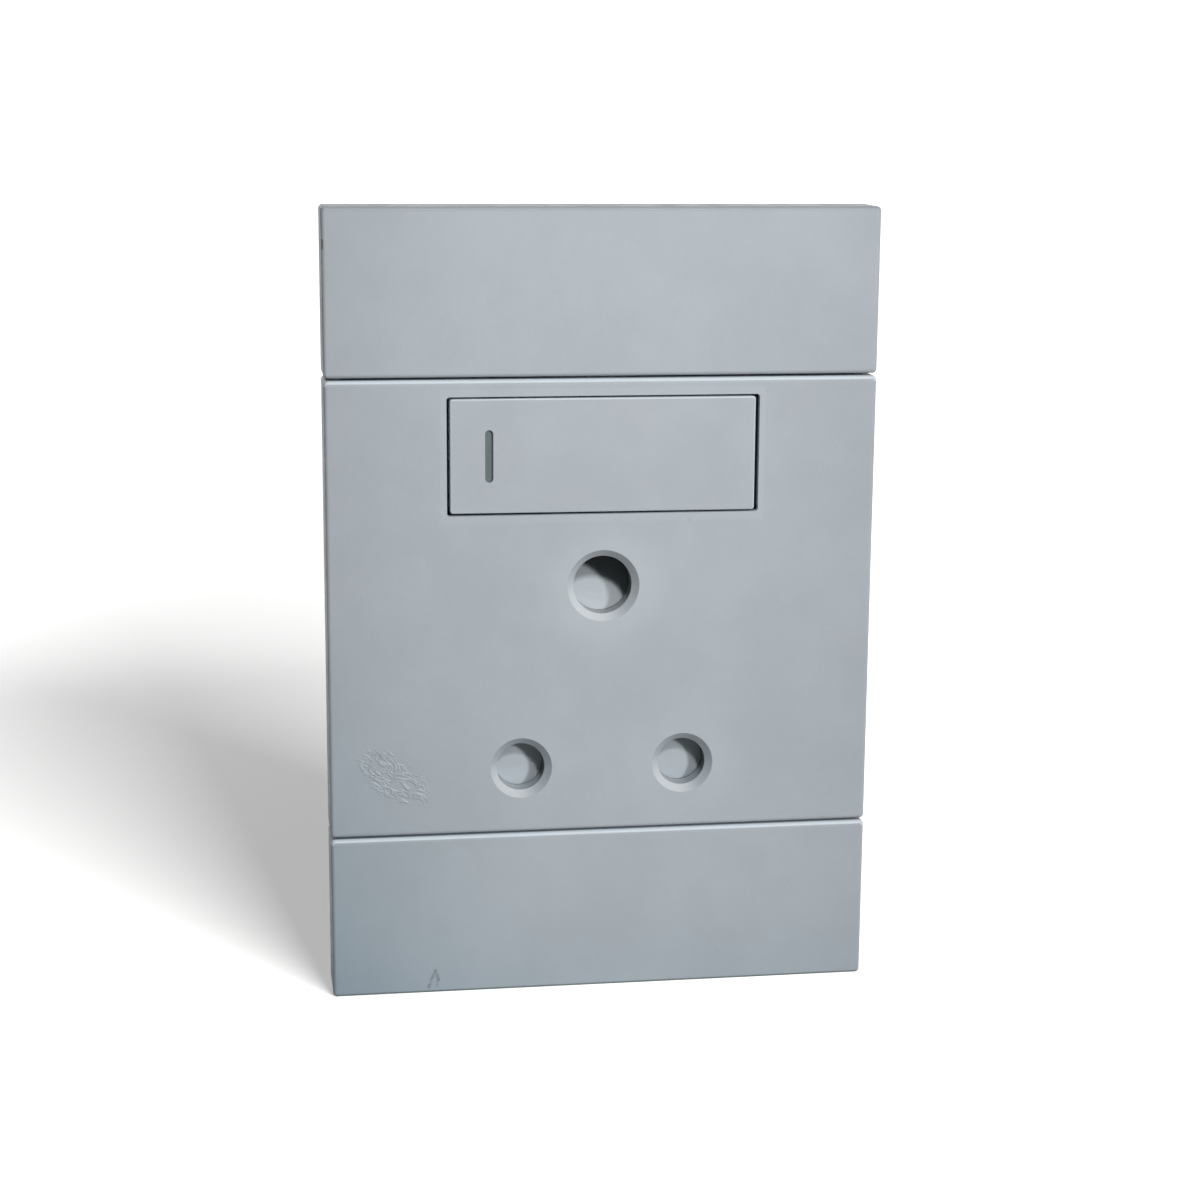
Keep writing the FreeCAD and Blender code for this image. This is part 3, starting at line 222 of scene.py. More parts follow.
def stroke(s, place, start, end, half_width):
    """How much a point lies on a straight stroke from start to end, both (x, z)."""
    run = Vector((end[0] - start[0], 0.0, end[1] - start[1]))
    flat = s.flat(place)
    origin = (start[0], 0.0, start[1])
    offset = s.add("ShaderNodeVectorMath", {"operation": "SUBTRACT"}, in_0=flat, in_1=origin)
    dot = s.add("ShaderNodeVectorMath", {"operation": "DOT_PRODUCT"}, in_0=offset.outputs[0], in_1=tuple(run))
    share = s.math("MULTIPLY", dot.outputs["Value"], 1 / run.length_squared, clamp=True)
    foot = s.add("ShaderNodeVectorMath", {"operation": "SCALE"}, in_0=tuple(run), Scale=share)
    gap = s.distance(offset.outputs[0], foot.outputs[0])
    return s.spread(gap, half_width * 1.5, half_width * 0.4)


def smudge(s, place):
    """A dark rubbed mark like an open tent, near the lower edge of the lower end cover."""
    strength = 0.0
    for start, end, share in zip(SMUDGE_CORNERS, SMUDGE_CORNERS[1:], SMUDGE_STRENGTHS):
        mark = s.math("MULTIPLY", stroke(s, place, start, end, 0.26), share)
        strength = s.math("MAXIMUM", strength, mark)
    return s.math("MULTIPLY", strength, s.spread(s.noise(place, 1.4, 2.0), 0.3, 0.55, 0.4, 1.0))


def specks(s, place, scale, size, share):
    """Small round specks: cells of a given size, of which only a share has one."""
    cells = s.add("ShaderNodeTexVoronoi", Vector=place, Scale=scale)
    spot = s.spread(cells.outputs["Distance"], size, size * 0.45)
    chosen = s.add("ShaderNodeSeparateColor", Color=cells.outputs["Color"])
    kept = s.math("LESS_THAN", chosen.outputs[0], share)
    return s.math("MULTIPLY", spot, kept)


def between(s, value, low, high, soft):
    """1 where a value lies between low and high, with soft ends."""
    return s.math("MULTIPLY", s.spread(value, low - soft, low), s.spread(value, high + soft, high))


def plate_highlight_rims(s, parts):
    """The rims just behind the plate's face, round the rocker and below each seam, that get a painted
    highlight.
    """
    low, high = (tuple(c / MM for c in corner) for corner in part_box("rocker"))
    across = between(s, parts["X"], low[0] - 1.4, high[0] + 1.4, 0.2)
    foot, head = low[2] + TRUNNION_LENGTH, high[2] - TRUNNION_LENGTH
    upward = between(s, parts["Z"], foot - 1.4, head + 1.4, 0.2)
    zones = [s.math("MULTIPLY", across, upward)]
    for node in ("front_plate", "bottom_cover"):
        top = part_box(node)[1][2] / MM
        zones.append(between(s, parts["Z"], top - 0.8, top, 0.1))
    zone = s.math("MAXIMUM", s.math("MAXIMUM", zones[0], zones[1]), zones[2])
    rim = between(s, parts["Y"], FACE + 0.04, FACE + 0.5, 0.05)
    return s.math("MULTIPLY", zone, rim)


def painted_hollow_shade(s, parts):
    """Painted shade on the walls inside the pin holes and the rocker's opening; the holes' lower walls, which
    face upwards, get none.
    """
    deep = s.spread(parts["Y"], FACE + 1.05, FACE + 1.2)
    across = between(s, parts["X"], -30.0, 30.0, 1.0)
    upward = between(s, parts["Z"], -34.0, 34.0, 0.5)
    facing = s.add("ShaderNodeSeparateXYZ", Vector=s.add("ShaderNodeNewGeometry").outputs["Normal"])
    unshaded = s.math("MULTIPLY", s.spread(facing.outputs["Z"], 0.35, 0.75), s.spread(parts["Z"], 13.0, 12.0))
    unshaded = s.math("MULTIPLY", unshaded, s.spread(parts["Y"], FACE + 4.2, FACE + 3.6))
    darkened = s.math("MULTIPLY", deep, s.math("SUBTRACT", 1.0, unshaded))
    return s.math("MULTIPLY", darkened, s.math("MULTIPLY", across, upward))


def paint_hole_glow(s, place, parts, tone):
    """A painted pale glow on the plate round the pin holes, and a painted highlight on their lead-ins where
    they face up and to the right.
    """
    normal = s.add("ShaderNodeSeparateXYZ", Vector=s.add("ShaderNodeNewGeometry").outputs["Normal"]).outputs
    toward = s.math("ADD", s.math("MULTIPLY", normal["Z"], 0.8), s.math("MULTIPLY", normal["X"], 0.6))
    bevel = between(s, parts["Y"], FACE + 0.05, FACE + 1.05, 0.04)
    flat = s.flat(place)
    for x, z, radius, halo in PIN_HOLES:
        gap = s.distance(flat, (x, 0.0, z))
        pale = s.math("MULTIPLY", s.spread(gap, radius + 7.0, radius + 1.5), halo)
        tone = s.blend(pale, tone, PAINTED_GLOW_HALO)
        ring = s.math("MULTIPLY", bevel, s.spread(gap, radius + 2.2, radius + 1.8))
        glint = s.math("MULTIPLY", ring, s.spread(toward, 0.1, 0.65, 0.0, 0.23))
        tone = s.blend(glint, tone, PAINTED_GLINT)
    return tone


def paint_face_shade(s, parts, tone):
    """Painted shade: slow darkening of the mouldings toward both sides, the lower left and the foot."""
    side = s.math("MULTIPLY", parts["X"], 1.0 / 42.0)
    low = s.math("MULTIPLY", parts["Z"], -1.0 / 60.0, clamp=True)
    side_shade = s.math("MULTIPLY_ADD", s.math("MULTIPLY", side, side), -0.13, 1.0)
    tone = s.add("ShaderNodeVectorMath", {"operation": "SCALE"}, in_0=tone, Scale=side_shade).outputs[0]
    left = s.math("MULTIPLY", side, -1.0, clamp=True)
    corner = s.math("MULTIPLY", s.math("MULTIPLY", left, left), low)
    tone = s.blend(corner, tone, (0.78, 0.86, 0.90, 1.0), "MULTIPLY")
    foot = s.math("POWER", low, 6.0)
    return s.blend(foot, tone, (0.89, 0.92, 0.945, 1.0), "MULTIPLY")


def rocker_highlight_rims(s, parts):
    """The rounded rim of the rocker's face, that gets a painted highlight."""
    low, high = (tuple(c / MM for c in corner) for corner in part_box("rocker"))
    rims = []
    foot, head = low[2] + TRUNNION_LENGTH, high[2] - TRUNNION_LENGTH
    for axis, start, end in (("X", low[0], high[0]), ("Z", foot, head)):
        middle = s.math("ABSOLUTE", s.math("SUBTRACT", parts[axis], (start + end) / 2))
        half = (end - start) / 2
        rims.append(s.spread(middle, half - 0.3, half - 0.12))
    return s.math("MAXIMUM", *rims)


# Finishes

def moulded_tone(s, place, colour, speck_strength):
    """The colour of a matt moulding: slow clouds, warm patches, fine grain, dark and pale specks."""
    cloud = s.noise(place, 0.07, 4.0, 0.6)
    grain = s.noise(place, 3.2, 2.0, 0.6)
    tone = s.blend(s.spread(cloud, 0.3, 0.7), shade(colour, 0.955), shade(colour, 1.035))
    warm = s.spread(s.noise(place, 0.11, 2.0), 0.4, 0.7, 0.0, 0.6)
    tone = s.blend(warm, tone, (1.02, 0.995, 1.0, 1.0), "MULTIPLY")
    tone = s.blend(s.math("MULTIPLY", s.spread(grain, 0.25, 0.75), 0.35), tone, shade(colour, 0.95))
    for scale, size, share, factor in ((0.16, 0.05, 0.22, 0.62), (0.21, 0.045, 0.2, 1.22)):
        found = s.math("MULTIPLY", specks(s, place, scale, size, share), speck_strength)
        tone = s.blend(found, tone, shade(colour, factor))
    return tone


def scuffed(s, place, tone, normal, colour, strength):
    """The wrinkled patch and the rubbed mark, as a new tone and a new normal."""
    scuff = scuff_amount(s, place)
    ridges = wrinkle_height(s, place)
    normal = s.bump(s.math("MULTIPLY", scuff, ridges), strength, 0.0001, normal)
    tone = s.blend(s.math("MULTIPLY", scuff, 0.35), tone, shade(colour, 0.93))
    # The wrinkle crests are painted paler: a painted highlight
    lit = s.math("MULTIPLY", s.math("MULTIPLY", scuff, s.spread(ridges, 0.5, 0.9)), 0.55)
    tone = s.blend(lit, tone, shade(colour, 1.16))
    return s.blend(smudge(s, place), tone, shade(colour, 0.3)), normal


def darkened(s, place, parts, tone, colour):
    """Painted shade in the hollows, along the top ridge and on the foot, and the dark nick on the left edge.
    """
    # Painted shade inside the holes and the rocker's opening
    tone = s.blend(painted_hollow_shade(s, parts), tone, HOLE_PAINTED_SHADE)
    nick = stroke(s, place, *NICK_ENDS, 0.34)
    tone = s.blend(s.math("MULTIPLY", nick, 0.8), tone, shade(colour, 0.1))
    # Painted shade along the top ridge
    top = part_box("top_cover")[1][2] / MM
    ridge = s.spread(parts["Z"], top - 0.75, top - 0.5)
    tone = s.blend(s.math("MULTIPLY", ridge, 0.7), tone, shade(colour, 0.66))
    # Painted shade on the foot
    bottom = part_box("bottom_cover")[0][2] / MM
    foot = s.spread(parts["Z"], bottom + 0.5, bottom + 0.3)
    return s.blend(s.math("MULTIPLY", foot, 0.85), tone, FOOT_PAINTED_SHADE)


def front_plastic(props, name, colour, marked):
    """Matt moulded plastic with a fine spark-eroded grain and dust specks, with painted highlights on its
    edges and painted shade toward its sides.
    """
    material, s = new_finish(name)
    place = s.millimetres()
    parts = s.add("ShaderNodeSeparateXYZ", Vector=place).outputs
    tone = moulded_tone(s, place, colour, props.speck_strength)
    normal = s.bump(s.noise(place, 5.5, 3.0, 0.65), props.grain_strength, 0.00006)
    normal = s.bump(s.noise(place, 0.55, 2.0), 0.25, 0.00005, normal)
    if marked:
        tone, normal = scuffed(s, place, tone, normal, colour, props.scuff_strength)
    # Painted shade toward the sides, the lower left and the foot
    tone = paint_face_shade(s, parts, tone)
    if marked:
        # Painted glow round the pin holes and painted highlight on their lead-ins
        tone = paint_hole_glow(s, place, parts, tone)
    rims = plate_highlight_rims(s, parts) if marked else rocker_highlight_rims(s, parts)
    # Painted highlight: the rims are painted paler
    tone = s.blend(s.math("MULTIPLY", rims, props.edge_highlight_strength), tone, shade(colour, 1.5))
    if marked:
        # Painted shade in the hollows, on the top ridge and on the foot; the nick is a real mark
        tone = darkened(s, place, parts, tone, colour)
    rough = s.spread(s.noise(place, 0.25, 3.0), 0.3, 0.7, props.roughness - 0.05, props.roughness + 0.06)
    shader = s.add("ShaderNodeBsdfPrincipled", Base_Color=tone, Roughness=rough, Normal=normal)
    shader.inputs["IOR"].default_value = PLASTIC_IOR
    s.finish(shader.outputs[0])
    return material


def plain_plastic(name, colour, roughness, grain_scale=2.2, grain_strength=0.25):
    """Inner mouldings: an even matt finish with faint flow marks and dust."""
    material, s = new_finish(name)
    place = s.millimetres()
    flow = s.add("ShaderNodeVectorMath", {"operation": "MULTIPLY"}, in_0=place, in_1=(0.3, 0.3, 1.0))
    streaks = s.noise(flow.outputs[0], 0.22, 4.0, 0.6, 0.6)
    tone = s.blend(s.spread(streaks, 0.3, 0.7), shade(colour, 0.92), shade(colour, 1.06))
    dust = specks(s, place, 0.3, 0.08, 0.3)
    tone = s.blend(s.math("MULTIPLY", dust, 0.25), tone, PALE_DUST)
    normal = s.bump(s.noise(place, grain_scale, 3.0, 0.6), grain_strength, 0.00008)
    rough = s.spread(streaks, 0.3, 0.7, roughness - 0.06, roughness + 0.08)
    shader = s.add("ShaderNodeBsdfPrincipled", Base_Color=tone, Roughness=rough, Normal=normal)
    shader.inputs["IOR"].default_value = PLASTIC_IOR
    s.finish(shader.outputs[0])
    return material


def brushed_metal(name, colour, roughness, tarnish, stretch=(1.0, 1.0, 1.0)):
    """Bare or plated metal with fine lines along the rolled direction and some tarnish."""
    material, s = new_finish(name)
    place = s.millimetres()
    drawn = s.add("ShaderNodeVectorMath", {"operation": "MULTIPLY"}, in_0=place, in_1=stretch)
    lines = s.noise(drawn.outputs[0], 3.5, 4.0, 0.65)
    cloud = s.noise(place, 0.35, 4.0, 0.6)
    stain = s.math("MULTIPLY", s.spread(cloud, 0.5, 0.75), 0.45)
    tone = s.blend(s.spread(lines, 0.3, 0.7), shade(colour, 0.88), shade(colour, 1.06))
    tone = s.blend(stain, tone, (*tarnish, 1.0))
    normal = s.bump(lines, 0.2, 0.00004)
    rough = s.spread(s.math("ADD", lines, stain), 0.2, 1.0, roughness - 0.08, roughness + 0.15)
    shader = s.add("ShaderNodeBsdfPrincipled", Base_Color=tone, Roughness=rough, Normal=normal)
    shader.inputs["Metallic"].default_value = 1.0
    s.finish(shader.outputs[0])
    return material


def give_finish(material, *nodes):
    """Put a finish on CAD nodes, in every slot they have."""
    for node in nodes:
        owner = frame["nodes"][node]
        if not owner.material_slots:
            owner.data.materials.append(material)
        for slot in owner.material_slots:
            slot.material = material


# Sizes and colours that a user would change

def colour_property(name, description, default):
    return FloatVectorProperty(
        name=name, description=description, subtype="COLOR", size=3, min=0.0, max=1.0, default=default
    )


class SocketPlastics(bpy.types.PropertyGroup):
    """The moulded parts."""

    front: colour_property("Front", "Colour of the three front mouldings", (0.425, 0.474, 0.516))
    rocker: colour_property("Rocker", "Colour of the rocker", (0.436, 0.483, 0.526))
    lens: colour_property("Indicator", "Colour of the narrow strip in the rocker", (0.093, 0.125, 0.128))
    shutter: colour_property("Shutter", "Colour of the shutter", (0.425, 0.474, 0.516))
    housing: colour_property("Housing", "Colour of the housing behind the wall", (0.045, 0.047, 0.05))
    frame: colour_property("Frame", "Colour of the mounting frame", (0.60, 0.60, 0.57))
    plunger: colour_property("Plunger", "Colour of the nylon plunger", (0.77, 0.75, 0.68))
    roughness: FloatProperty(
        name="Roughness", description="How matt the front is", default=0.46, min=0.1, max=0.9
    )
    grain_strength: FloatProperty(
        name="Grain", description="Depth of the moulded grain", default=0.35, min=0.0, max=1.0
    )
    scuff_strength: FloatProperty(
        name="Scuff", description="Depth of the wrinkled patch", default=0.8, min=0.0, max=1.0
    )
    # How strong the painted highlight on the edges is
    edge_highlight_strength: FloatProperty(
        name="Edges", description="How much paler the handled edges are", default=0.8, min=0.0, max=1.0
    )
    speck_strength: FloatProperty(
        name="Specks", description="How much the dust specks show", default=0.35, min=0.0, max=1.0
    )


class SocketMetals(bpy.types.PropertyGroup):
    """The contacts, terminals, springs and screws."""

    brass: colour_property("Contact brass", "Colour of the contact strips", (0.58, 0.386, 0.107))
    terminal: colour_property("Terminal brass", "Colour of the terminal blocks", (0.61, 0.413, 0.122))
    silver: colour_property("Silver", "Colour of the contact rivets", (0.68, 0.68, 0.67))
    steel: colour_property("Screw steel", "Colour of the plated screws", (0.49, 0.50, 0.51))
    spring: colour_property("Spring steel", "Colour of the springs", (0.37, 0.375, 0.39))


class SocketScrews(bpy.types.PropertyGroup):
    """The screws' threads."""

    pitch: FloatProperty(
        name="Pitch", description="Thread pitch of the box screws", default=0.6 * MM, min=0.2 * MM,
        max=1.5 * MM, precision=5, unit="LENGTH",
    )
    depth: FloatProperty(
        name="Thread depth", description="Crest to root", default=0.33 * MM, min=0.05 * MM,
        max=0.6 * MM, precision=5, unit="LENGTH",
    )


class SocketStage(bpy.types.PropertyGroup):
    """Camera, lamps and floor."""

    lens: FloatProperty(
        name="Focal length", description="Of the camera, on a 36 mm wide sensor", default=73.0,
        min=20.0, max=200.0, unit="CAMERA",
    )
    side_power: FloatProperty(
        name="Side lamp", description="Power of the lamp at the right", default=10.4, min=0.0, max=100.0,
        unit="POWER",
    )
    upper_power: FloatProperty(
        name="Upper lamp", description="Power of the lamp above the camera", default=2.45, min=0.0,
        max=100.0, unit="POWER",
    )
    floor_power: FloatProperty(
        name="Floor lamp", description="Power of the lamp that lights only the floor", default=152.0,
        min=0.0, max=500.0, unit="POWER",
    )
    fill: FloatProperty(
        name="Fill", description="Strength of the light from all round", default=0.02, min=0.0, max=2.0
    )


# Screws

SCREW_MEASURES = (
    "Shank Radius", "Neck Radius", "Neck Length", "Length", "Head Radius", "Head Height", "Slot Width",
    "Slot Depth", "Pitch", "Thread Depth",
)

# Each kind of screw: the nodes it stands for, 1 where its tip points away from the front or -1, its
# pitch against the box screws' pitch, and its measures up to the slot's depth
SCREW_KINDS = (
    (("box_screw_upper", "box_screw_lower"), 1, 1.0, (1.75, 1.55, 3.2, 21.2, 3.4, 2.2, 1.0, 1.0)),
    (
        ("live_terminal_screw", "neutral_terminal_screw", "earth_terminal_screw"),
        -1, 1.0, (1.95, 1.6, 0.5, 3.4, 2.7, 1.9, 1.0, 1.0),
    ),
    (
        ("assembly_screw_1", "assembly_screw_2", "assembly_screw_3", "assembly_screw_4"),
        -1, 1.5, (1.3, 1.0, 8.0, 21.5, 2.1, 1.8, 1.0, 1.0),
    ),
)


def screw_tree(material):
    """A slotted screw along its own Z, head upwards, built from named sizes."""
    tree = bpy.data.node_groups.new("slotted_screw", "GeometryNodeTree")
    for name in SCREW_MEASURES:
        tree.interface.new_socket(name, in_out="INPUT", socket_type="NodeSocketFloat")
    tree.interface.new_socket("Geometry", in_out="OUTPUT", socket_type="NodeSocketGeometry")
    given = tree.nodes.new("NodeGroupInput").outputs
    link = tree.links.new

    def calc(operation, first, second):
        node = tree.nodes.new("ShaderNodeMath")
        node.operation = operation
        for socket, value in zip(node.inputs, (first, second)):
            if isinstance(value, bpy.types.NodeSocket):
                link(value, socket)
            else:
                socket.default_value = value
        return node.outputs[0]

    def moved(geometry, rise):
        spot = tree.nodes.new("ShaderNodeCombineXYZ")
        link(rise, spot.inputs["Z"])
        node = tree.nodes.new("GeometryNodeTransform")
        link(geometry, node.inputs["Geometry"])
        link(spot.outputs[0], node.inputs["Translation"])
        return node.outputs["Geometry"]

    def rod(radius, length, rise, sides=48):
        node = tree.nodes.new("GeometryNodeMeshCylinder")
        node.inputs["Vertices"].default_value = sides
        link(radius, node.inputs["Radius"])
        link(length, node.inputs["Depth"])
        return moved(node.outputs["Mesh"], rise)

    threaded = calc("SUBTRACT", given["Length"], given["Neck Length"])
    core_radius = calc("SUBTRACT", given["Shank Radius"], given["Thread Depth"])
    overlap = calc("MULTIPLY", given["Head Height"], 0.1)
    core_length = calc("ADD", given["Length"], overlap)
    core_middle = calc("SUBTRACT", overlap, calc("MULTIPLY", core_length, 0.5))
    core = rod(core_radius, core_length, core_middle)
    neck = rod(
        given["Neck Radius"],
        calc("ADD", given["Neck Length"], overlap),
        calc("MULTIPLY", calc("SUBTRACT", overlap, given["Neck Length"]), 0.5),
    )
    head = rod(given["Head Radius"], given["Head Height"], calc("MULTIPLY", given["Head Height"], 0.5), 64)

    groove = tree.nodes.new("GeometryNodeMeshCube")
    box = tree.nodes.new("ShaderNodeCombineXYZ")
    link(calc("MULTIPLY", given["Head Radius"], 2.4), box.inputs["X"])
    link(given["Slot Width"], box.inputs["Y"])
    link(calc("MULTIPLY", given["Slot Depth"], 2.0), box.inputs["Z"])
    link(box.outputs[0], groove.inputs["Size"])
    slotted = tree.nodes.new("GeometryNodeMeshBoolean")
    slotted.operation = "DIFFERENCE"
    slotted.solver = "EXACT"
    link(head, slotted.inputs["Mesh 1"])
    link(moved(groove.outputs["Mesh"], given["Head Height"]), slotted.inputs["Mesh 2"])

    turns = calc("DIVIDE", threaded, given["Pitch"])
    helix = tree.nodes.new("GeometryNodeCurveSpiral")
    helix.inputs["Resolution"].default_value = 28
    link(turns, helix.inputs["Rotations"])
    for name in ("Start Radius", "End Radius"):
        link(core_radius, helix.inputs[name])
    link(threaded, helix.inputs["Height"])
    ridge = tree.nodes.new("GeometryNodeCurvePrimitiveCircle")
    ridge.mode = "RADIUS"
    ridge.inputs["Resolution"].default_value = 4
    link(given["Thread Depth"], ridge.inputs["Radius"])
    wound = tree.nodes.new("GeometryNodeCurveToMesh")
    wound.inputs["Fill Caps"].default_value = True
    link(helix.outputs["Curve"], wound.inputs["Curve"])
    link(ridge.outputs["Curve"], wound.inputs["Profile Curve"])
    thread = moved(wound.outputs["Mesh"], calc("MULTIPLY", given["Length"], -1.0))

    join = tree.nodes.new("GeometryNodeJoinGeometry")
    for geometry in (core, neck, slotted.outputs["Mesh"], thread):
        link(geometry, join.inputs["Geometry"])
    realize = tree.nodes.new("GeometryNodeRealizeInstances")
    link(join.outputs["Geometry"], realize.inputs["Geometry"])
    finish = tree.nodes.new("GeometryNodeSetMaterial")
    finish.inputs["Material"].default_value = material
    link(realize.outputs["Geometry"], finish.inputs["Geometry"])
    out = tree.nodes.new("NodeGroupOutput")
    link(finish.outputs["Geometry"], out.inputs["Geometry"])
    return tree


def screw_mesh(tree, name, sizes):
    """An object with the tree's result for these sizes as its plain mesh."""
    owner = bpy.data.objects.new(name, bpy.data.meshes.new(name))
    bpy.context.scene.collection.objects.link(owner)
    modifier = owner.modifiers.new("screw", "NODES")
    modifier.node_group = tree
    for item in tree.interface.items_tree:
        if item.in_out == "INPUT" and item.name in sizes:
            modifier[item.identifier] = sizes[item.name]
    graph = bpy.context.evaluated_depsgraph_get()
    mesh = bpy.data.meshes.new_from_object(owner.evaluated_get(graph), depsgraph=graph)
    owner.modifiers.remove(modifier)
    owner.data = mesh
    mesh.name = name
    return owner


def make_screw(tree, node, tip_side, sizes):
    """A screw that stands for a CAD one, with its head where the CAD one's head is."""
    low, high = (Vector(corner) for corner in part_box(node))
    middle = (low + high) / 2
    head_end = low.y if tip_side > 0 else high.y
    seat = head_end + tip_side * sizes["Head Height"]
    owner = screw_mesh(tree, f"{node}_threaded", sizes)
    turn = Matrix.Rotation(math.radians(90.0 * tip_side), 4, "X")
    owner.data.transform(Matrix.Translation((middle.x, seat, middle.z)) @ turn)
    for polygon in owner.data.polygons:
        polygon.use_smooth = False
    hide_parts(node)
    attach(owner, "base")
    return owner


# Springs

def soft_spring(node, body, axis, foot):
    """A spring that stands for a CAD one: a copy of its mesh, carried by the body."""
    foot = Vector(foot) * MM
    plain = frame["nodes"][node]
    mesh = plain.data.copy()
    mesh.transform(plain.matrix_world)
    owner = bpy.data.objects.new(f"{node}_wound", mesh)
    bpy.context.scene.collection.objects.link(owner)
    axis = Vector(axis).normalized()
    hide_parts(node)
    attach(owner, body)
    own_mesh(owner)


# Operators

class SOCKET_OT_front(bpy.types.Operator):
    """Finish the two end covers and the centre moulding"""

    bl_idname = "socket.front"
    bl_label = "Front Mouldings"

    def execute(self, context):
        plastics = context.scene.socket_plastics
        material = front_plastic(plastics, "front_plastic", plastics.front, True)
        give_finish(material, "top_cover", "bottom_cover", "front_plate")
        return {"FINISHED"}


class SOCKET_OT_rocker(bpy.types.Operator):
    """Finish the rocker, its indicator strip and its plunger"""

    bl_idname = "socket.rocker"
    bl_label = "Rocker"

    def execute(self, context):
        plastics = context.scene.socket_plastics
        give_finish(front_plastic(plastics, "rocker_plastic", plastics.rocker, False), "rocker")
        give_finish(plain_plastic("indicator_plastic", plastics.lens, 0.4, 3.0, 0.15), "indicator_lens")
        give_finish(plain_plastic("plunger_plastic", plastics.plunger, 0.4, 3.0, 0.1), "plunger")
        return {"FINISHED"}


class SOCKET_OT_inner_mouldings(bpy.types.Operator):
    """Finish the shutter, the rear housing and the mounting frame"""

    bl_idname = "socket.inner_mouldings"
    bl_label = "Inner Mouldings"

    def execute(self, context):
        plastics = context.scene.socket_plastics
        give_finish(plain_plastic("shutter_plastic", plastics.shutter, 0.5), "shutter")
        give_finish(plain_plastic("housing_plastic", plastics.housing, 0.5), "rear_housing")
        give_finish(plain_plastic("frame_plastic", plastics.frame, 0.55), "mounting_frame")
        return {"FINISHED"}


class SOCKET_OT_contacts(bpy.types.Operator):
    """Finish the contacts, rivets and terminals"""

    bl_idname = "socket.contacts"
    bl_label = "Contacts"

    def execute(self, context):
        metals = context.scene.socket_metals
        strip = brushed_metal("contact_brass", metals.brass, 0.3, BROWN_TARNISH, (1.0, 1.0, 0.12))
        give_finish(
            strip, "live_contact", "neutral_contact", "earth_contact", "moving_contact", "fixed_contact",
            "pivot_bracket",
        )
        block = brushed_metal("terminal_brass", metals.terminal, 0.28, BROWN_TARNISH, (1.0, 0.15, 1.0))
        give_finish(block, "live_terminal", "neutral_terminal", "earth_terminal")
        silver = brushed_metal("contact_silver", metals.silver, 0.25, (0.2, 0.19, 0.17))
        give_finish(silver, "moving_contact_rivet", "fixed_contact_rivet")
        return {"FINISHED"}


class SOCKET_OT_springs(bpy.types.Operator):
    """Build the two springs, which stand for the CAD ones"""

    bl_idname = "socket.springs"
    bl_label = "Springs"

    def execute(self, context):
        metals = context.scene.socket_metals
        material = brushed_metal("spring_steel", metals.spring, 0.3, (0.12, 0.1, 0.09))
        give_finish(material, "plunger_spring", "shutter_spring")
        inward = (math.sin(BARREL_TILT), math.cos(BARREL_TILT), 0.0)
        soft_spring("plunger_spring", "rocker", inward, BARREL_FLOOR)
        soft_spring("shutter_spring", "base", (0.0, 0.0, 1.0), SHUTTER_LEDGE)
        return {"FINISHED"}


class SOCKET_OT_screws(bpy.types.Operator):
    """Build the threaded screws that stand for the plain ones"""

    bl_idname = "socket.screws"
    bl_label = "Screws"

    def execute(self, context):
        screws = context.scene.socket_screws
        metals = context.scene.socket_metals
        steel = brushed_metal("screw_steel", metals.steel, 0.32, (0.2, 0.19, 0.16))
        tree = screw_tree(steel)
        for nodes, tip_side, pitches, measures in SCREW_KINDS:
            sizes = {name: size * MM for name, size in zip(SCREW_MEASURES, measures)}
            sizes["Pitch"] = screws.pitch * pitches
            sizes["Thread Depth"] = screws.depth
            for node in nodes:
                make_screw(tree, node, tip_side, sizes)
        return {"FINISHED"}


# Stage, in metres

FLOOR_REACH = 3.0
SWEEP_START = 1.6
SWEEP_RADIUS = 0.6

# Where the shadow leaves the plate, and how far the floor's painted glow keeps low there, painting the shadow
# darker
SHADOW_ROOT = (-0.042, 0.02, 0.0)
SHADOW_REACH = (0.06, 0.25, 1.0)

CAMERA_PLACE = (-0.056, PLATE_FACE - 0.3621, 0.078)
CAMERA_AHEAD = (0.1482, 0.9673, -0.2047)
CAMERA_ROLL = math.radians(0.39)


class SOCKET_OT_stage(bpy.types.Operator):
    """Build the floor, the lamps, the surroundings and the camera"""

    bl_idname = "socket.stage"
    bl_label = "Stage"

    def execute(self, context):
        stage = context.scene.socket_stage
        make_lamps(stage, make_floor())
        make_surroundings(stage)
        make_camera(stage)
        context.scene.view_settings.view_transform = "Standard"
        return {"FINISHED"}


def make_floor():
    """A white sweep: flat under the plate, and curving up far behind it."""
    profile = [(-FLOOR_REACH, 0.0), (-1.0, 0.0), (0.0, 0.0), (0.8, 0.0), (SWEEP_START, 0.0)]
    for degrees in range(6, 91, 6):
        angle = math.radians(degrees)
        back = SWEEP_START + SWEEP_RADIUS * math.sin(angle)
        profile.append((back, SWEEP_RADIUS - SWEEP_RADIUS * math.cos(angle)))
    profile.append((SWEEP_START + SWEEP_RADIUS, FLOOR_REACH))
    verts = [(side * FLOOR_REACH, y, FLOOR_LEVEL + rise) for y, rise in profile for side in (-1, 1)]
    faces = [(2 * i, 2 * i + 1, 2 * i + 3, 2 * i + 2) for i in range(len(profile) - 1)]
    mesh = bpy.data.meshes.new("floor")
    mesh.from_pydata(verts, [], faces)
    for polygon in mesh.polygons:
        polygon.use_smooth = True
    floor = bpy.data.objects.new("floor", mesh)
    bpy.context.scene.collection.objects.link(floor)
    mesh.materials.append(floor_white())
    return floor


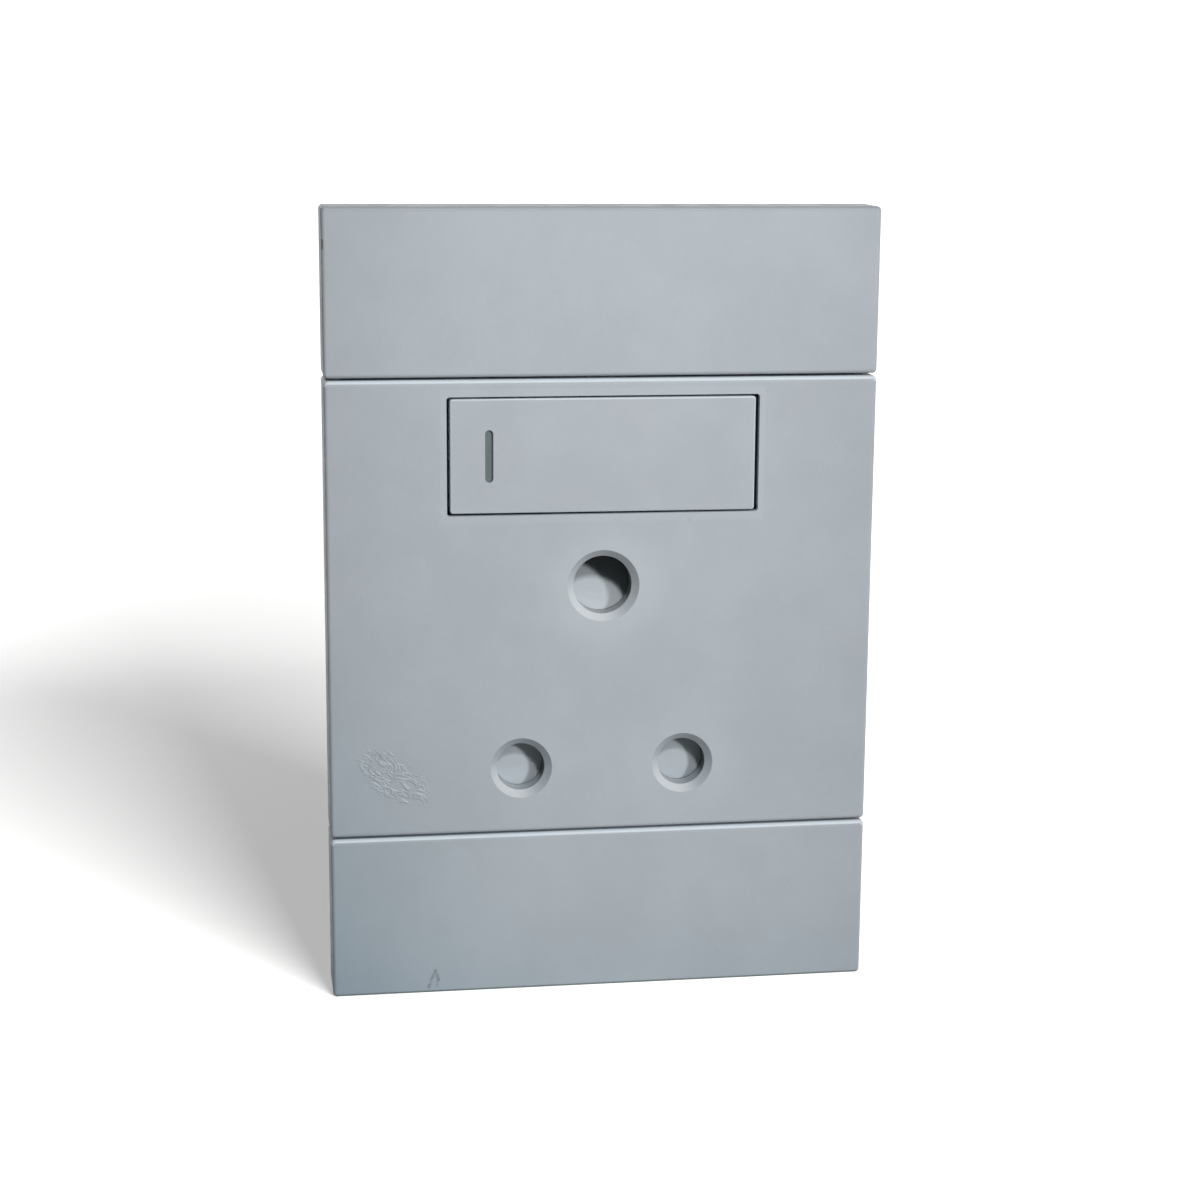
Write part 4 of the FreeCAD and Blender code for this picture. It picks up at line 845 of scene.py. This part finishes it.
def floor_white():
    """Matt paper that shows white to the camera, with the shadow on it, and throws little light back.

    It glows a little where it is seen directly, as painted light: least where the shadow leaves the plate,
    painting the shadow darker there, and more farther off, painting the shadow's fade.
    """
    material, s = new_finish("floor_white")
    place = s.add("ShaderNodeTexCoord").outputs["Object"]
    paper = s.blend(s.noise(place, 1.5, 2.0), (0.90, 0.90, 0.905, 1.0), (0.92, 0.92, 0.925, 1.0))
    direct = seen_directly(s)
    tone = s.blend(direct, (0.1, 0.1, 0.1, 1.0), paper)
    matt = s.add("ShaderNodeBsdfDiffuse", Color=tone)
    spot = s.add("ShaderNodeMapping", {"vector_type": "TEXTURE"}, Vector=place)
    spot.inputs["Location"].default_value = SHADOW_ROOT
    spot.inputs["Scale"].default_value = SHADOW_REACH
    away = s.add("ShaderNodeVectorMath", {"operation": "LENGTH"}, in_0=spot.outputs[0]).outputs["Value"]
    # Painted light: the glow is lowest near the shadow's root and rises with distance
    near = s.spread(away, 0.0, 1.0, 0.43, 0.50)
    glow = s.math("ADD", near, s.spread(away, 0.9, 3.0, 0.0, 0.50))
    lift = s.add("ShaderNodeEmission", Color=(1.0, 1.0, 1.0, 1.0), Strength=s.math("MULTIPLY", direct, glow))
    both = s.add("ShaderNodeAddShader", in_0=matt.outputs[0], in_1=lift.outputs[0])
    s.finish(both.outputs[0])
    return material


def seen_directly(s):
    """1 for rays from the camera, or by way of a mirror or clear piece, and 0 for the rest."""
    path = s.add("ShaderNodeLightPath").outputs
    sharp = s.math("MAXIMUM", path["Is Glossy Ray"], path["Is Transmission Ray"])
    return s.math("MAXIMUM", path["Is Camera Ray"], sharp)


def make_lamp(name, power, size, side, rise, distance):
    """A rectangular lamp that faces the plate's middle, from degrees to the right and upwards."""
    lamp = bpy.data.lights.new(name, "AREA")
    lamp.shape = "RECTANGLE"
    lamp.size, lamp.size_y = size
    lamp.energy = power
    lamp.color = (1.0, 0.99, 0.975)
    holder = bpy.data.objects.new(name, lamp)
    side, rise = math.radians(side), math.radians(rise)
    toward = Vector(
        (math.sin(side) * math.cos(rise), -math.cos(side) * math.cos(rise), math.sin(rise))
    )
    holder.location = Vector((0.0, PLATE_FACE, 0.0)) + toward * distance
    holder.rotation_euler = toward.to_track_quat("Z", "Y").to_euler()
    holder.visible_camera = False
    bpy.context.scene.collection.objects.link(holder)
    return holder


def limit_lamp(lamp, floor, state):
    """Let a lamp light the floor and nothing else, or everything but the floor."""
    group = bpy.data.collections.new(f"{lamp.name}_reach")
    group.objects.link(floor)
    group.collection_objects[0].light_linking.link_state = state
    lamp.light_linking.receiver_collection = group


def make_lamps(stage, floor):
    """Two lamps for the socket, and a wide soft one for the floor and its shadow."""
    side = make_lamp("side_lamp", stage.side_power, (0.16, 0.16), 31.5, 14.0, 1.4)
    upper = make_lamp("upper_lamp", stage.upper_power, (0.10, 0.09), 10.0, 36.0, 0.7)
    ground = make_lamp("floor_lamp", stage.floor_power, (1.4, 0.6), 21.5, 25.3, 3.0)
    limit_lamp(side, floor, "EXCLUDE")
    limit_lamp(upper, floor, "EXCLUDE")
    limit_lamp(ground, floor, "INCLUDE")


def make_surroundings(stage):
    """Surroundings that show white, and light the socket only a little."""
    world = bpy.data.worlds.new("surroundings")
    bpy.context.scene.world = world
    s = Shading(world)
    fill = s.add("ShaderNodeBackground", Color=(0.93, 0.97, 1.0, 1.0))
    fill.inputs["Strength"].default_value = stage.fill
    white = s.add("ShaderNodeBackground", Color=(1.0, 1.0, 1.0, 1.0))
    white.inputs["Strength"].default_value = 1.0
    mixed = s.add("ShaderNodeMixShader", in_0=seen_directly(s), in_1=fill.outputs[0], in_2=white.outputs[0])
    s.finish(mixed.outputs[0], "ShaderNodeOutputWorld")


def make_camera(stage):
    """The photograph's viewpoint: from the left and above, with a slight roll."""
    camera = bpy.data.cameras.new("camera")
    camera.lens = stage.lens
    camera.sensor_width = 36.0
    camera.clip_start = 0.01
    camera.clip_end = 20.0
    holder = bpy.data.objects.new("camera", camera)
    ahead = Vector(CAMERA_AHEAD).normalized()
    right = ahead.cross(Vector((0.0, 0.0, 1.0))).normalized()
    up = right.cross(ahead)
    level = right * math.cos(CAMERA_ROLL) + up * math.sin(CAMERA_ROLL)
    upright = up * math.cos(CAMERA_ROLL) - right * math.sin(CAMERA_ROLL)
    axes = Matrix((level, upright, -ahead)).transposed().to_4x4()
    holder.matrix_world = Matrix.Translation(CAMERA_PLACE) @ axes
    bpy.context.scene.collection.objects.link(holder)
    bpy.context.scene.camera = holder


# Panel and registration

PIECES = (
    SOCKET_OT_front,
    SOCKET_OT_rocker,
    SOCKET_OT_inner_mouldings,
    SOCKET_OT_contacts,
    SOCKET_OT_springs,
    SOCKET_OT_screws,
    SOCKET_OT_stage,
)
GROUPS = {
    "socket_plastics": SocketPlastics,
    "socket_metals": SocketMetals,
    "socket_screws": SocketScrews,
    "socket_stage": SocketStage,
}


class SOCKET_PT_panel(bpy.types.Panel):
    """Lists the sizes, the colours and the pieces"""

    bl_idname = "SOCKET_PT_panel"
    bl_label = "Switched Socket"
    bl_space_type = "VIEW_3D"
    bl_region_type = "UI"
    bl_category = "Socket"

    def draw(self, context):
        for group in GROUPS:
            box = self.layout.box()
            values = getattr(context.scene, group)
            for name in values.bl_rna.properties.keys():
                if name not in {"rna_type", "name"}:
                    box.prop(values, name)
        for piece in PIECES:
            self.layout.operator(piece.bl_idname)


def register():
    for group in (*GROUPS.values(), *PIECES, SOCKET_PT_panel):
        bpy.utils.register_class(group)
    for name, group in GROUPS.items():
        setattr(bpy.types.Scene, name, PointerProperty(type=group))


def unregister():
    for name in GROUPS:
        delattr(bpy.types.Scene, name)
    for group in reversed((*GROUPS.values(), *PIECES, SOCKET_PT_panel)):
        bpy.utils.unregister_class(group)


def main():
    register()
    bpy.ops.socket.front()
    bpy.ops.socket.rocker()
    bpy.ops.socket.inner_mouldings()
    bpy.ops.socket.contacts()
    bpy.ops.socket.springs()
    bpy.ops.socket.screws()
    bpy.ops.socket.stage()
    bpy.context.view_layer.update()


if __name__ == "__main__":
    main()
